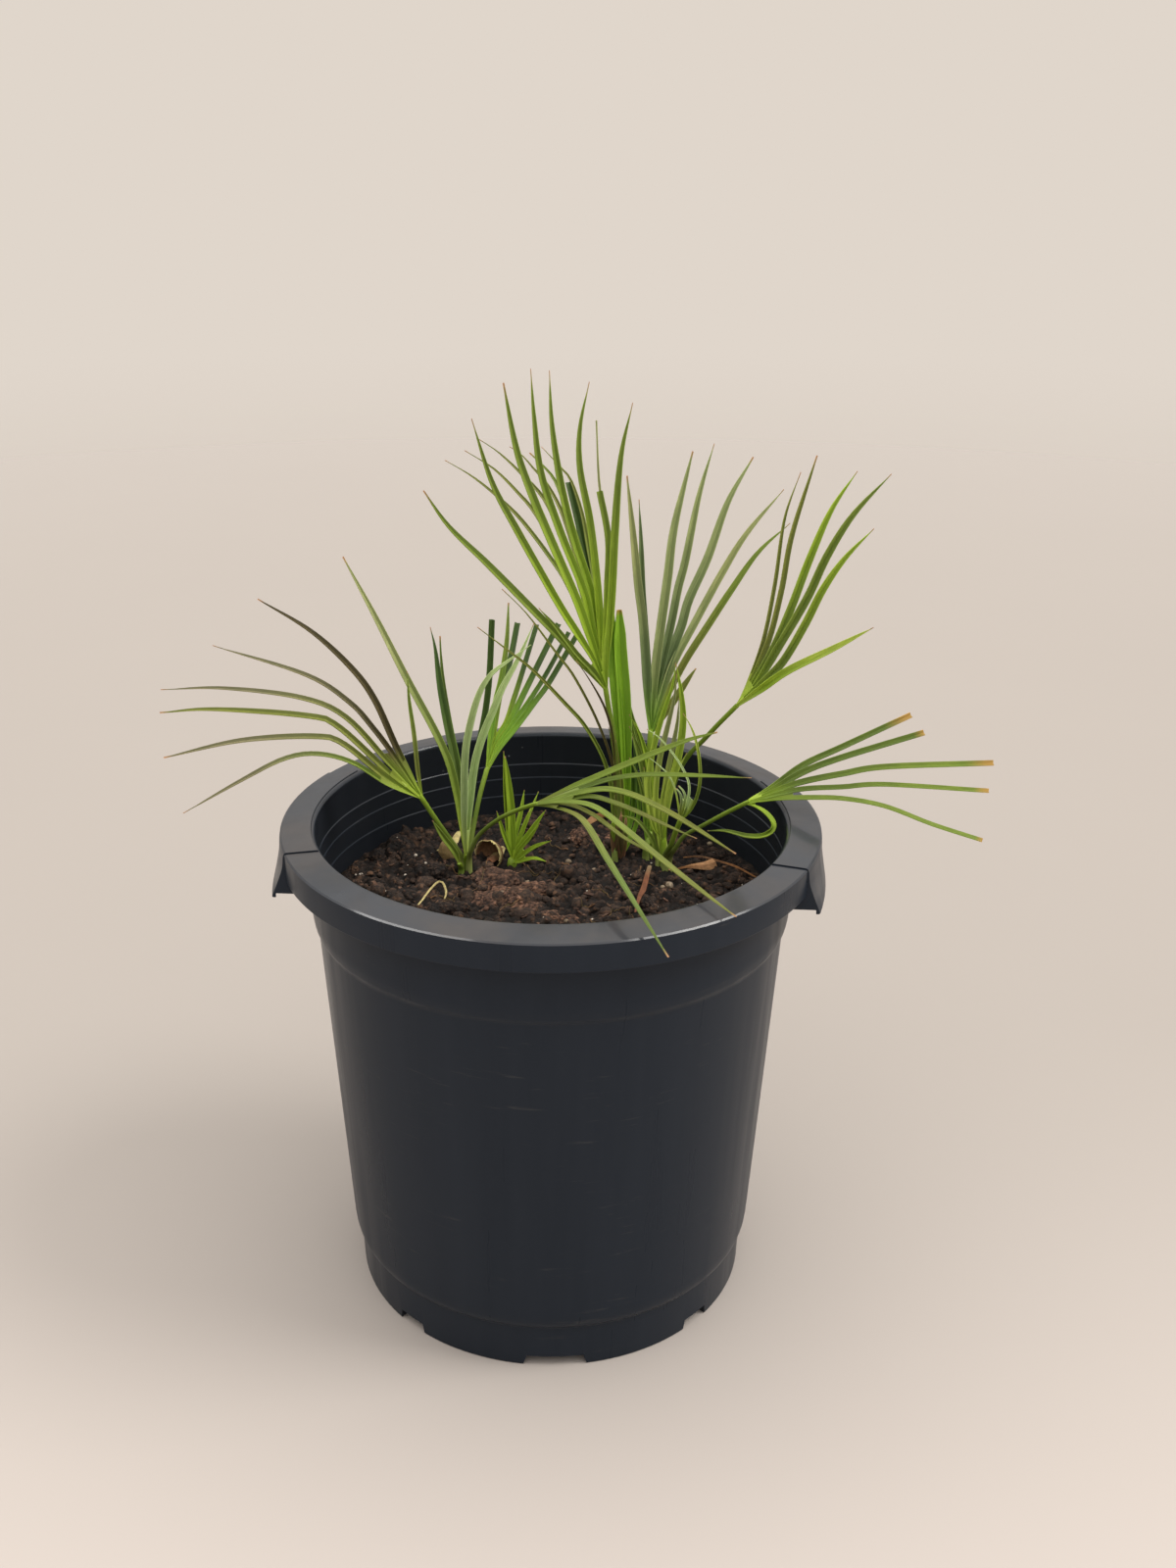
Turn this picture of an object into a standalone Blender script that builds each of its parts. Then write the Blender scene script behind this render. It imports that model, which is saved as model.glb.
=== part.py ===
"""A potted paurotis palm: a tuft of young fan palms in a moulded nursery pot.

Lengths are in millimetres and become metres where a mesh is made. The pot stands on z = 0 with
its axis on Z, and its front is towards -Y.
"""

import math
import random

import bmesh
import bpy
from mathutils import Matrix, Vector
from mathutils.bvhtree import BVHTree

MM = 0.001
GAP = 0.35

# Pot: a tapered round wall with a broad turned-down rim, an upper band and a set-in foot.
RIM_RADIUS = 150.0
RIM_TOP = 286.5
RIM_EDGE_TOP = 284.2
RIM_INNER_RADIUS = 132.2
SKIRT_BOTTOM = 268.6
SKIRT_THICK = 2.2
WALL_THICK = 2.8
BAND_TOP_RADIUS = 135.8
BAND_BOTTOM_RADIUS = 134.9
BAND_BOTTOM = 240.0
WALL_TOP_RADIUS = 132.0
WALL_TOP = 229.5
WALL_BOTTOM_RADIUS = 120.2
WALL_BOTTOM = 37.0
FOOT_RADIUS = 116.6
FOOT_TOP = 27.5
FLOOR_THICK = 2.6
POT_SEGMENTS = 48
LEDGE_DEPTHS = (20.5, 29.5, 41.0)
LEDGE_STEP = 0.6

# Hand grips: two lengths of rim, opposite each other, whose skirt flares out and hangs lower.
GRIP_TURN = math.radians(-4.0)
GRIP_HALF_WIDTH = 57.5
GRIP_WEB = 2.8
GRIP_RAISE = 0.7
GRIP_FLARE_RADIUS = 157.6
GRIP_BOTTOM = 258.4
GRIP_WEB_BOTTOM = 260.8
GRIP_SKIN = 2.2
GRIP_FLATTENING = 0.45

# Drain slots through the foot: broad and narrow ones by turns.
SLOT_COUNT = 8
SLOT_FIRST = math.radians(-88.8)
SLOT_HEIGHT = 6.6
SLOT_WIDTHS = (36.0, 20.0)
SLOT_TOP_SHARE = 0.88
SLOT_INNER_RADIUS = 105.0

# Soil: fills the pot to a hand's breadth below the rim, with clods on it.
SOIL_TOP = 233.5
SOIL_RINGS = 8
SOIL_SPOKES = 36
SOIL_MOUNDS = 34
CLOD_COUNT = 8
ROOT_DEPTH = 14.0

# Leaves.
BLADE_THICK = 0.7
BLADE_FOLD = 0.26
BLADE_TIP_WIDTH = 1.0
BLADE_ROOT_SHARE = 0.42
STALK_SIDES = 6
LEAFLET_STEP = 0.37
COLLAR_HEIGHT = 9.0

# The eye that the leaves' places are given for: it stands before the pot and looks down at it.
# Leaf points are (right, down) in a view of 1200 by 1600 points, with the depth behind the pot's
# axis in millimetres.
EYE_BACK = 820.8
EYE_HEIGHT = 641.3
EYE_PITCH = math.radians(22.28)
EYE_FOCAL = 1630.3
EYE_MIDDLE = (562.0, 800.0)

EYE = Vector((0.0, -EYE_BACK, EYE_HEIGHT))
EYE_AHEAD = Vector((0.0, math.cos(EYE_PITCH), -math.sin(EYE_PITCH)))
EYE_UP = Vector((0.0, math.sin(EYE_PITCH), math.cos(EYE_PITCH)))
EYE_RIGHT = Vector((1.0, 0.0, 0.0))

RISING = (0.0, -0.80, 0.60)


def sight(right, down):
    """The line of sight through a point of the view."""
    across = (right - EYE_MIDDLE[0]) / EYE_FOCAL
    up = (EYE_MIDDLE[1] - down) / EYE_FOCAL
    return EYE_AHEAD + EYE_RIGHT * across + EYE_UP * up


def seen_at(right, down, depth):
    """The point seen there that lies this far behind the pot's axis."""
    line = sight(right, down)
    return EYE + line * ((depth - EYE.y) / line.y)


def seen_on_soil(right, down, height=SOIL_TOP):
    """The point seen there at the soil's height."""
    line = sight(right, down)
    return EYE + line * ((height - EYE.z) / line.z)


# Materials

def material(name, colour, roughness, metallic=0.0):
    made = bpy.data.materials.new(name)
    made.use_nodes = True
    shader = made.node_tree.nodes["Principled BSDF"]
    shader.inputs["Base Color"].default_value = (*colour, 1.0)
    shader.inputs["Roughness"].default_value = roughness
    shader.inputs["Metallic"].default_value = metallic
    made.diffuse_color = (*colour, 1.0)
    return made


# Meshes

def mesh_object(name, bm, surface=None):
    bmesh.ops.recalc_face_normals(bm, faces=bm.faces)
    mesh = bpy.data.meshes.new(name)
    bm.to_mesh(mesh)
    bm.free()
    made = bpy.data.objects.new(name, mesh)
    bpy.context.scene.collection.objects.link(made)
    if surface:
        mesh.materials.append(surface)
    return made


def helper(made):
    """Keeps a cutter or an operand out of the part."""
    made.hide_render = True
    made.display_type = "WIRE"
    return made


def applied(target):
    """The target with its modifiers made real."""
    graph = bpy.context.evaluated_depsgraph_get()
    graph.update()
    mesh = bpy.data.meshes.new_from_object(target.evaluated_get(graph))
    old = target.data
    target.modifiers.clear()
    target.data = mesh
    bpy.data.meshes.remove(old)
    mesh.name = target.name
    return target


def combine(target, other, operation):
    """One Boolean of an object with another, made real, and the other removed."""
    modifier = target.modifiers.new(operation.title(), "BOOLEAN")
    modifier.operation = operation
    modifier.solver = "EXACT"
    modifier.object = other
    applied(target)
    bpy.data.objects.remove(other)
    return target


def fuse(target, pieces):
    """One union of an object with a collection of others, made real, and the others removed."""
    if not pieces:
        return target
    group = bpy.data.collections.new(target.name + "_pieces")
    bpy.context.scene.collection.children.link(group)
    for piece in pieces:
        group.objects.link(piece)
    modifier = target.modifiers.new("Union", "BOOLEAN")
    modifier.operation = "UNION"
    modifier.operand_type = "COLLECTION"
    modifier.solver = "EXACT"
    modifier.collection = group
    applied(target)
    for piece in pieces:
        bpy.data.objects.remove(piece)
    bpy.data.collections.remove(group)
    return target


def main_body(target):
    """Drops what a union leaves apart from the main body: the skin of a sealed hollow, or a scrap."""
    bm = bmesh.new()
    bm.from_mesh(target.data)
    left = set(bm.verts)
    bodies = []
    while left:
        body = {left.pop()}
        front = list(body)
        while front:
            vert = front.pop()
            for edge in vert.link_edges:
                other = edge.other_vert(vert)
                if other not in body:
                    body.add(other)
                    front.append(other)
        left -= body
        bodies.append(body)
    bodies.sort(key=len)
    spare = [vert for body in bodies[:-1] for vert in body]
    bmesh.ops.delete(bm, geom=spare, context="VERTS")
    bm.to_mesh(target.data)
    bm.free()


def turned(name, profile, segments=POT_SEGMENTS, surface=None):
    """A solid of revolution. The profile runs from the axis to the axis, or closes on itself."""
    bm = bmesh.new()
    rim = [bm.verts.new((radius * MM, 0.0, height * MM)) for radius, height in profile]
    runs = [bm.edges.new(pair) for pair in zip(rim, rim[1:])]
    if profile[0][0] > 0.0:
        runs.append(bm.edges.new((rim[-1], rim[0])))
    bmesh.ops.spin(
        bm,
        geom=rim + runs,
        cent=(0.0, 0.0, 0.0),
        axis=(0.0, 0.0, 1.0),
        angle=2.0 * math.pi,
        steps=segments,
        use_merge=True,
    )
    bmesh.ops.remove_doubles(bm, verts=bm.verts, dist=1e-6)
    return mesh_object(name, bm, surface)


def slab(name, half_length, half_width, low, high, turn):
    """An upright box across the pot's axis."""
    bm = bmesh.new()
    bmesh.ops.create_cube(bm, size=1.0)
    size = Vector((2.0 * half_length, 2.0 * half_width, high - low)) * MM
    bmesh.ops.scale(bm, vec=size, verts=bm.verts)
    bmesh.ops.translate(bm, vec=(0.0, 0.0, 0.5 * (low + high) * MM), verts=bm.verts)
    bmesh.ops.rotate(bm, matrix=Matrix.Rotation(turn, 3, "Z"), verts=bm.verts)
    return helper(mesh_object(name, bm))


# Pot

def inner_radius(height):
    """The inside of the pot's wall, up to the lowest ledge."""
    share = (height - FLOOR_THICK) / (WALL_TOP - FLOOR_THICK)
    low = FOOT_RADIUS - WALL_THICK - 1.0
    return low + share * (WALL_TOP_RADIUS - WALL_THICK - low)


def pot_profile():
    outer = [
        (0.0, 0.0),
        (FOOT_RADIUS - 1.6, 0.0),
        (FOOT_RADIUS - 1.0, 0.6),
        (FOOT_RADIUS, FOOT_TOP),
        (FOOT_RADIUS + 1.9, FOOT_TOP + 2.0),
        (WALL_BOTTOM_RADIUS - 0.5, FOOT_TOP + 5.2),
        (WALL_BOTTOM_RADIUS, WALL_BOTTOM),
        (WALL_TOP_RADIUS, WALL_TOP),
        (WALL_TOP_RADIUS + 1.7, WALL_TOP + 2.6),
        (BAND_BOTTOM_RADIUS - 0.3, BAND_BOTTOM - 3.6),
        (BAND_BOTTOM_RADIUS, BAND_BOTTOM),
        (BAND_TOP_RADIUS, RIM_EDGE_TOP - 3.2),
        (RIM_RADIUS - SKIRT_THICK - 1.2, RIM_EDGE_TOP - 4.0),
        (RIM_RADIUS - SKIRT_THICK, RIM_EDGE_TOP - 5.4),
        (RIM_RADIUS - SKIRT_THICK, SKIRT_BOTTOM),
        (RIM_RADIUS, SKIRT_BOTTOM),
        (RIM_RADIUS, RIM_EDGE_TOP - 1.5),
        (RIM_RADIUS - 0.5, RIM_EDGE_TOP - 0.4),
        (RIM_RADIUS - 1.7, RIM_EDGE_TOP),
        (RIM_INNER_RADIUS, RIM_TOP),
        (RIM_INNER_RADIUS - 1.3, RIM_TOP - 1.7),
    ]
    ledges = []
    radius = RIM_INNER_RADIUS - 1.4
    for depth in LEDGE_DEPTHS:
        ledges.append((radius, RIM_TOP - depth))
        radius -= LEDGE_STEP
        ledges.append((radius, RIM_TOP - depth - LEDGE_STEP))
    inner = [
        (inner_radius(WALL_TOP), WALL_TOP),
        (inner_radius(FLOOR_THICK + 1.2), FLOOR_THICK + 1.2),
        (inner_radius(FLOOR_THICK) - 1.4, FLOOR_THICK),
        (0.0, FLOOR_THICK),
    ]
    return outer + ledges + inner


def grip_profile(skin_only):
    """The outline of the grips' full section, or of the pocket inside it."""
    flare = [
        (RIM_RADIUS + 0.9, RIM_EDGE_TOP - 1.8),
        (RIM_RADIUS + 1.5, RIM_EDGE_TOP - 8.0),
        (RIM_RADIUS + 4.4, RIM_EDGE_TOP - 16.0),
        (GRIP_FLARE_RADIUS, GRIP_BOTTOM),
    ]
    if skin_only:
        pocket = [(radius - GRIP_SKIN, height) for radius, height in flare[1:]]
        pocket[-1] = (pocket[-1][0], GRIP_BOTTOM - 3.0)
        top = (RIM_RADIUS - SKIRT_THICK - 1.0, RIM_EDGE_TOP - 4.6)
        wall = BAND_TOP_RADIUS + 0.01
        return [(wall, RIM_EDGE_TOP - 4.6), (wall, GRIP_BOTTOM - 3.0), pocket[2], pocket[1], pocket[0], top]
    return [
        (RIM_INNER_RADIUS - 0.2, RIM_TOP - 3.0),
        (RIM_INNER_RADIUS + 0.1, RIM_TOP + GRIP_RAISE),
        (RIM_RADIUS - 1.4, RIM_EDGE_TOP + GRIP_RAISE),
        (RIM_RADIUS + 0.3, RIM_EDGE_TOP),
        *flare,
        (GRIP_FLARE_RADIUS - GRIP_SKIN, GRIP_BOTTOM),
        (GRIP_FLARE_RADIUS - GRIP_SKIN, GRIP_WEB_BOTTOM),
        (RIM_INNER_RADIUS + 0.9, GRIP_WEB_BOTTOM),
    ]


def flattened(made, base):
    """Draws a ring's flare in, most of all at the middle of each grip, so that the flap is less bowed
    than the rim."""
    normal = Vector((math.cos(GRIP_TURN), math.sin(GRIP_TURN)))
    for vert in made.data.vertices:
        spot = vert.co.xy / MM
        if spot.length <= base:
            continue
        across = spot.cross(normal) / GRIP_HALF_WIDTH
        share = 1.0 - min(across * across, 1.0)
        radius = base + (spot.length - base) * (1.0 - GRIP_FLATTENING * share)
        spot *= radius / spot.length
        vert.co.xy = spot * MM
    return made


def drain_slots():
    """One object of all the cutters, wedge-topped and set on rays of the pot."""
    bm = bmesh.new()
    for index in range(SLOT_COUNT):
        half = 0.5 * SLOT_WIDTHS[index % len(SLOT_WIDTHS)]
        sunk = -2.0
        slope = half * (1.0 - SLOT_TOP_SHARE)
        outline = [
            (half - sunk * slope / SLOT_HEIGHT, sunk),
            (half - slope, SLOT_HEIGHT),
            (slope - half, SLOT_HEIGHT),
            (sunk * slope / SLOT_HEIGHT - half, sunk),
        ]
        corners = [bm.verts.new((SLOT_INNER_RADIUS * MM, y * MM, z * MM)) for y, z in outline]
        end = bm.faces.new(corners)
        grown = bmesh.ops.extrude_face_region(bm, geom=[end])
        moved = [item for item in grown["geom"] if isinstance(item, bmesh.types.BMVert)]
        reach = (FOOT_RADIUS + 8.0 - SLOT_INNER_RADIUS) * MM
        bmesh.ops.translate(bm, vec=(reach, 0.0, 0.0), verts=moved)
        turn = SLOT_FIRST + index * 2.0 * math.pi / SLOT_COUNT
        bmesh.ops.rotate(bm, matrix=Matrix.Rotation(turn, 3, "Z"), verts=corners + moved)
    return helper(mesh_object("drain_slots", bm))


def make_pot(surface):
    pot = turned("pot", pot_profile(), surface=surface)
    grips = flattened(helper(turned("grips", grip_profile(False))), RIM_RADIUS)
    wide = slab("wide", 170.0, GRIP_HALF_WIDTH, 240.0, 300.0, GRIP_TURN)
    combine(grips, wide, "INTERSECT")
    combine(pot, grips, "UNION")
    pocket = flattened(helper(turned("pocket", grip_profile(True))), RIM_RADIUS - GRIP_SKIN)
    narrow = slab("narrow", 170.0, GRIP_HALF_WIDTH - GRIP_WEB, 240.0, 300.0, GRIP_TURN)
    combine(pocket, narrow, "INTERSECT")
    combine(pot, pocket, "DIFFERENCE")
    combine(pot, drain_slots(), "DIFFERENCE")
    pot.data.shade_smooth()
    pot.data.set_sharp_from_angle(angle=math.radians(32))
    return pot


# Stalks and blades

def smooth_path(points, count):
    """Points spread evenly along a smooth curve through the given ones."""
    ends = [points[0] * 2 - points[1]] + list(points) + [points[-1] * 2 - points[-2]]
    fine = []
    steps = 12
    for index in range(1, len(ends) - 2):
        before, start, end, after = ends[index - 1:index + 3]
        for step in range(steps):
            t = step / steps
            fine.append(0.5 * (
                2 * start
                + (end - before) * t
                + (2 * before - 5 * start + 4 * end - after) * t ** 2
                + (3 * start - before - 3 * end + after) * t ** 3
            ))
    fine.append(points[-1].copy())
    reach = [0.0]
    for first, second in zip(fine, fine[1:]):
        reach.append(reach[-1] + (second - first).length)
    spread = []
    place = 0
    for index in range(count):
        target = reach[-1] * index / (count - 1)
        while place < len(fine) - 2 and reach[place + 1] < target:
            place += 1
        share = (target - reach[place]) / max(reach[place + 1] - reach[place], 1e-9)
        spread.append(fine[place].lerp(fine[place + 1], min(share, 1.0)))
    return spread


def tangents(path):
    """The unit direction of a path at each of its points."""
    found = []
    for index in range(len(path)):
        ahead = path[min(index + 1, len(path) - 1)]
        back = path[max(index - 1, 0)]
        found.append((ahead - back).normalized())
    return found


def stalk(name, path, radii, sides=STALK_SIDES, flat=1.0, surface=None):
    """A round or flattened stalk: one ring of points at each point of the path, and closed ends."""
    bm = bmesh.new()
    rings = []
    side = EYE_RIGHT
    for centre, along, radius in zip(path, tangents(path), radii):
        side = (side - along * side.dot(along)).normalized()
        front = along.cross(side)
        ring = []
        for index in range(sides):
            angle = 2.0 * math.pi * index / sides
            outward = side * math.cos(angle) + front * (flat * math.sin(angle))
            ring.append(bm.verts.new((centre + outward * radius) * MM))
        rings.append(ring)
    for first, second in zip(rings, rings[1:]):
        for index in range(sides):
            after = (index + 1) % sides
            bm.faces.new((first[index], first[after], second[after], second[index]))
    bm.faces.new(rings[0])
    bm.faces.new(rings[-1])
    bmesh.ops.triangulate(bm, faces=bm.faces)
    return mesh_object(name, bm, surface)


def blade_width(share, width, cut):
    """A blade's width along its length: narrow at the root, full by a quarter, tapered or cut."""
    rise = min(share / 0.26, 1.0)
    rise = rise * rise * (3.0 - 2.0 * rise)
    full = width * (BLADE_ROOT_SHARE + (1.0 - BLADE_ROOT_SHARE) * rise)
    if cut:
        return full * (1.0 - 0.18 * share)
    fall = max((share - 0.5) / 0.5, 0.0)
    return max(full * (1.0 - fall ** 1.6), BLADE_TIP_WIDTH)


def blade(name, path, width, facing, cut=False, twist=0.0):
    """A folded blade: three points across its upper face and three across its lower one, at each
    point of the path, with both faces split into triangles alike."""
    bm = bmesh.new()
    rings = []
    last = len(path) - 1
    for index, (centre, along) in enumerate(zip(path, tangents(path))):
        side = along.cross(facing)
        side = side.normalized() if side.length > 0.05 else EYE_RIGHT
        side = Matrix.Rotation(twist * index / last, 3, along) @ side
        normal = side.cross(along).normalized()
        across = blade_width(index / last, width, cut)
        lift = normal * (across * BLADE_FOLD)
        half = side * (0.5 * across)
        upper = [centre - half + lift, centre, centre + half + lift]
        lower = [point - normal * BLADE_THICK for point in upper]
        rings.append([bm.verts.new(point * MM) for point in upper + lower[::-1]])
    for first, second in zip(rings, rings[1:]):
        for low, high in ((0, 1), (1, 2), (4, 5), (3, 4)):
            if low < 2:
                strips = ((first[low], first[high], second[high]), (first[low], second[high], second[low]))
            else:
                strips = ((first[high], second[low], first[low]), (first[high], second[high], second[low]))
            for corners in strips:
                bm.faces.new(corners)
        for low, high in ((2, 3), (5, 0)):
            bm.faces.new((first[low], first[high], second[high]))
            bm.faces.new((first[low], second[high], second[low]))
    for ring in (rings[0], rings[-1]):
        bm.faces.new((ring[0], ring[1], ring[4]))
        bm.faces.new((ring[0], ring[4], ring[5]))
        bm.faces.new((ring[1], ring[2], ring[3]))
        bm.faces.new((ring[1], ring[3], ring[4]))
    return mesh_object(name, bm)


# Soil

def make_soil(surface):
    """The soil's body, with a mounded top."""
    draw = random.Random(11)
    mounds = []
    for _ in range(SOIL_MOUNDS):
        angle = draw.uniform(0.0, 2.0 * math.pi)
        reach = 118.0 * math.sqrt(draw.random())
        spot = Vector((reach * math.cos(angle), reach * math.sin(angle)))
        mounds.append((spot, draw.uniform(9.0, 17.0), draw.uniform(-2.0, 3.6)))
    bm = bmesh.new()
    rings = []
    lowest_ledge = RIM_INNER_RADIUS - 1.4 - len(LEDGE_DEPTHS) * LEDGE_STEP
    outer = lowest_ledge * math.cos(math.pi / POT_SEGMENTS) - GAP
    for ring_index in range(1, SOIL_RINGS + 1):
        radius = outer * ring_index / SOIL_RINGS
        ring = []
        for spoke in range(SOIL_SPOKES):
            angle = 2.0 * math.pi * (spoke + 0.5 * (ring_index % 2)) / SOIL_SPOKES
            spot = Vector((radius * math.cos(angle), radius * math.sin(angle)))
            relief = 1.5
            for centre, spread, rise in mounds:
                relief += rise * math.exp(-((spot - centre).length / spread) ** 2)
            if ring_index == SOIL_RINGS:
                relief *= 0.3
            ring.append(bm.verts.new((spot.x * MM, spot.y * MM, (SOIL_TOP + relief) * MM)))
        rings.append(ring)
    middle = bm.verts.new((0.0, 0.0, (SOIL_TOP + 2.5) * MM))
    for spoke in range(SOIL_SPOKES):
        after = (spoke + 1) % SOIL_SPOKES
        bm.faces.new((middle, rings[0][spoke], rings[0][after]))
        for inner, wider in zip(rings, rings[1:]):
            bm.faces.new((inner[spoke], wider[spoke], wider[after], inner[after]))
    low = []
    foot = inner_radius(FLOOR_THICK + 1.2) * math.cos(math.pi / POT_SEGMENTS) - 1.8
    for vert in rings[-1]:
        spot = Vector((vert.co.x, vert.co.y)).normalized() * foot
        low.append(bm.verts.new((spot.x * MM, spot.y * MM, (FLOOR_THICK + GAP) * MM)))
    for spoke in range(SOIL_SPOKES):
        after = (spoke + 1) % SOIL_SPOKES
        bm.faces.new((rings[-1][spoke], low[spoke], low[after], rings[-1][after]))
    bm.faces.new(low)
    bmesh.ops.triangulate(bm, faces=bm.faces)
    return mesh_object("soil", bm, surface)


def clod(name, centre, radius, seed):
    """A rough lump of soil."""
    draw = random.Random(seed)
    bm = bmesh.new()
    bmesh.ops.create_icosphere(bm, subdivisions=2, radius=radius * MM)
    for vert in bm.verts:
        vert.co *= draw.uniform(0.84, 1.14)
        vert.co.z *= 0.72
    bmesh.ops.translate(bm, vec=centre * MM, verts=bm.verts)
    return mesh_object(name, bm)


def soil_clods(feet):
    """Clods half sunk in the soil, clear of every stalk's foot."""
    draw = random.Random(29)
    big = Vector((-85.5, 77.5, SOIL_TOP + 2.5))
    made = [clod("clod_0", big, 9.4, 1)]
    while len(made) < CLOD_COUNT:
        angle = draw.uniform(0.0, 2.0 * math.pi)
        reach = 112.0 * math.sqrt(draw.random())
        radius = draw.uniform(4.0, 8.0)
        spot = Vector((reach * math.cos(angle), reach * math.sin(angle), SOIL_TOP + 0.32 * radius))
        apart = [(spot.xy - foot.xy).length for foot in feet]
        apart.append((spot.xy - big.xy).length - 8.0)
        if min(apart) > radius + 9.0:
            made.append(clod(f"clod_{len(made)}", spot, radius, 40 + len(made)))
    return made


# Fronds: the foot's place on the soil, the stalk's points, the hub where the leaflets start, the
# way the leaf faces, and the leaflets, each with its tip's depth, width, end and points.

CLUMP_A = (475.0, 889.0)
CLUMP_B = (522.5, 883.0)
CLUMP_C = (631.0, 877.0)
CLUMP_M = (661.0, 874.0)
CLUMP_D = (678.0, 888.0)

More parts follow.
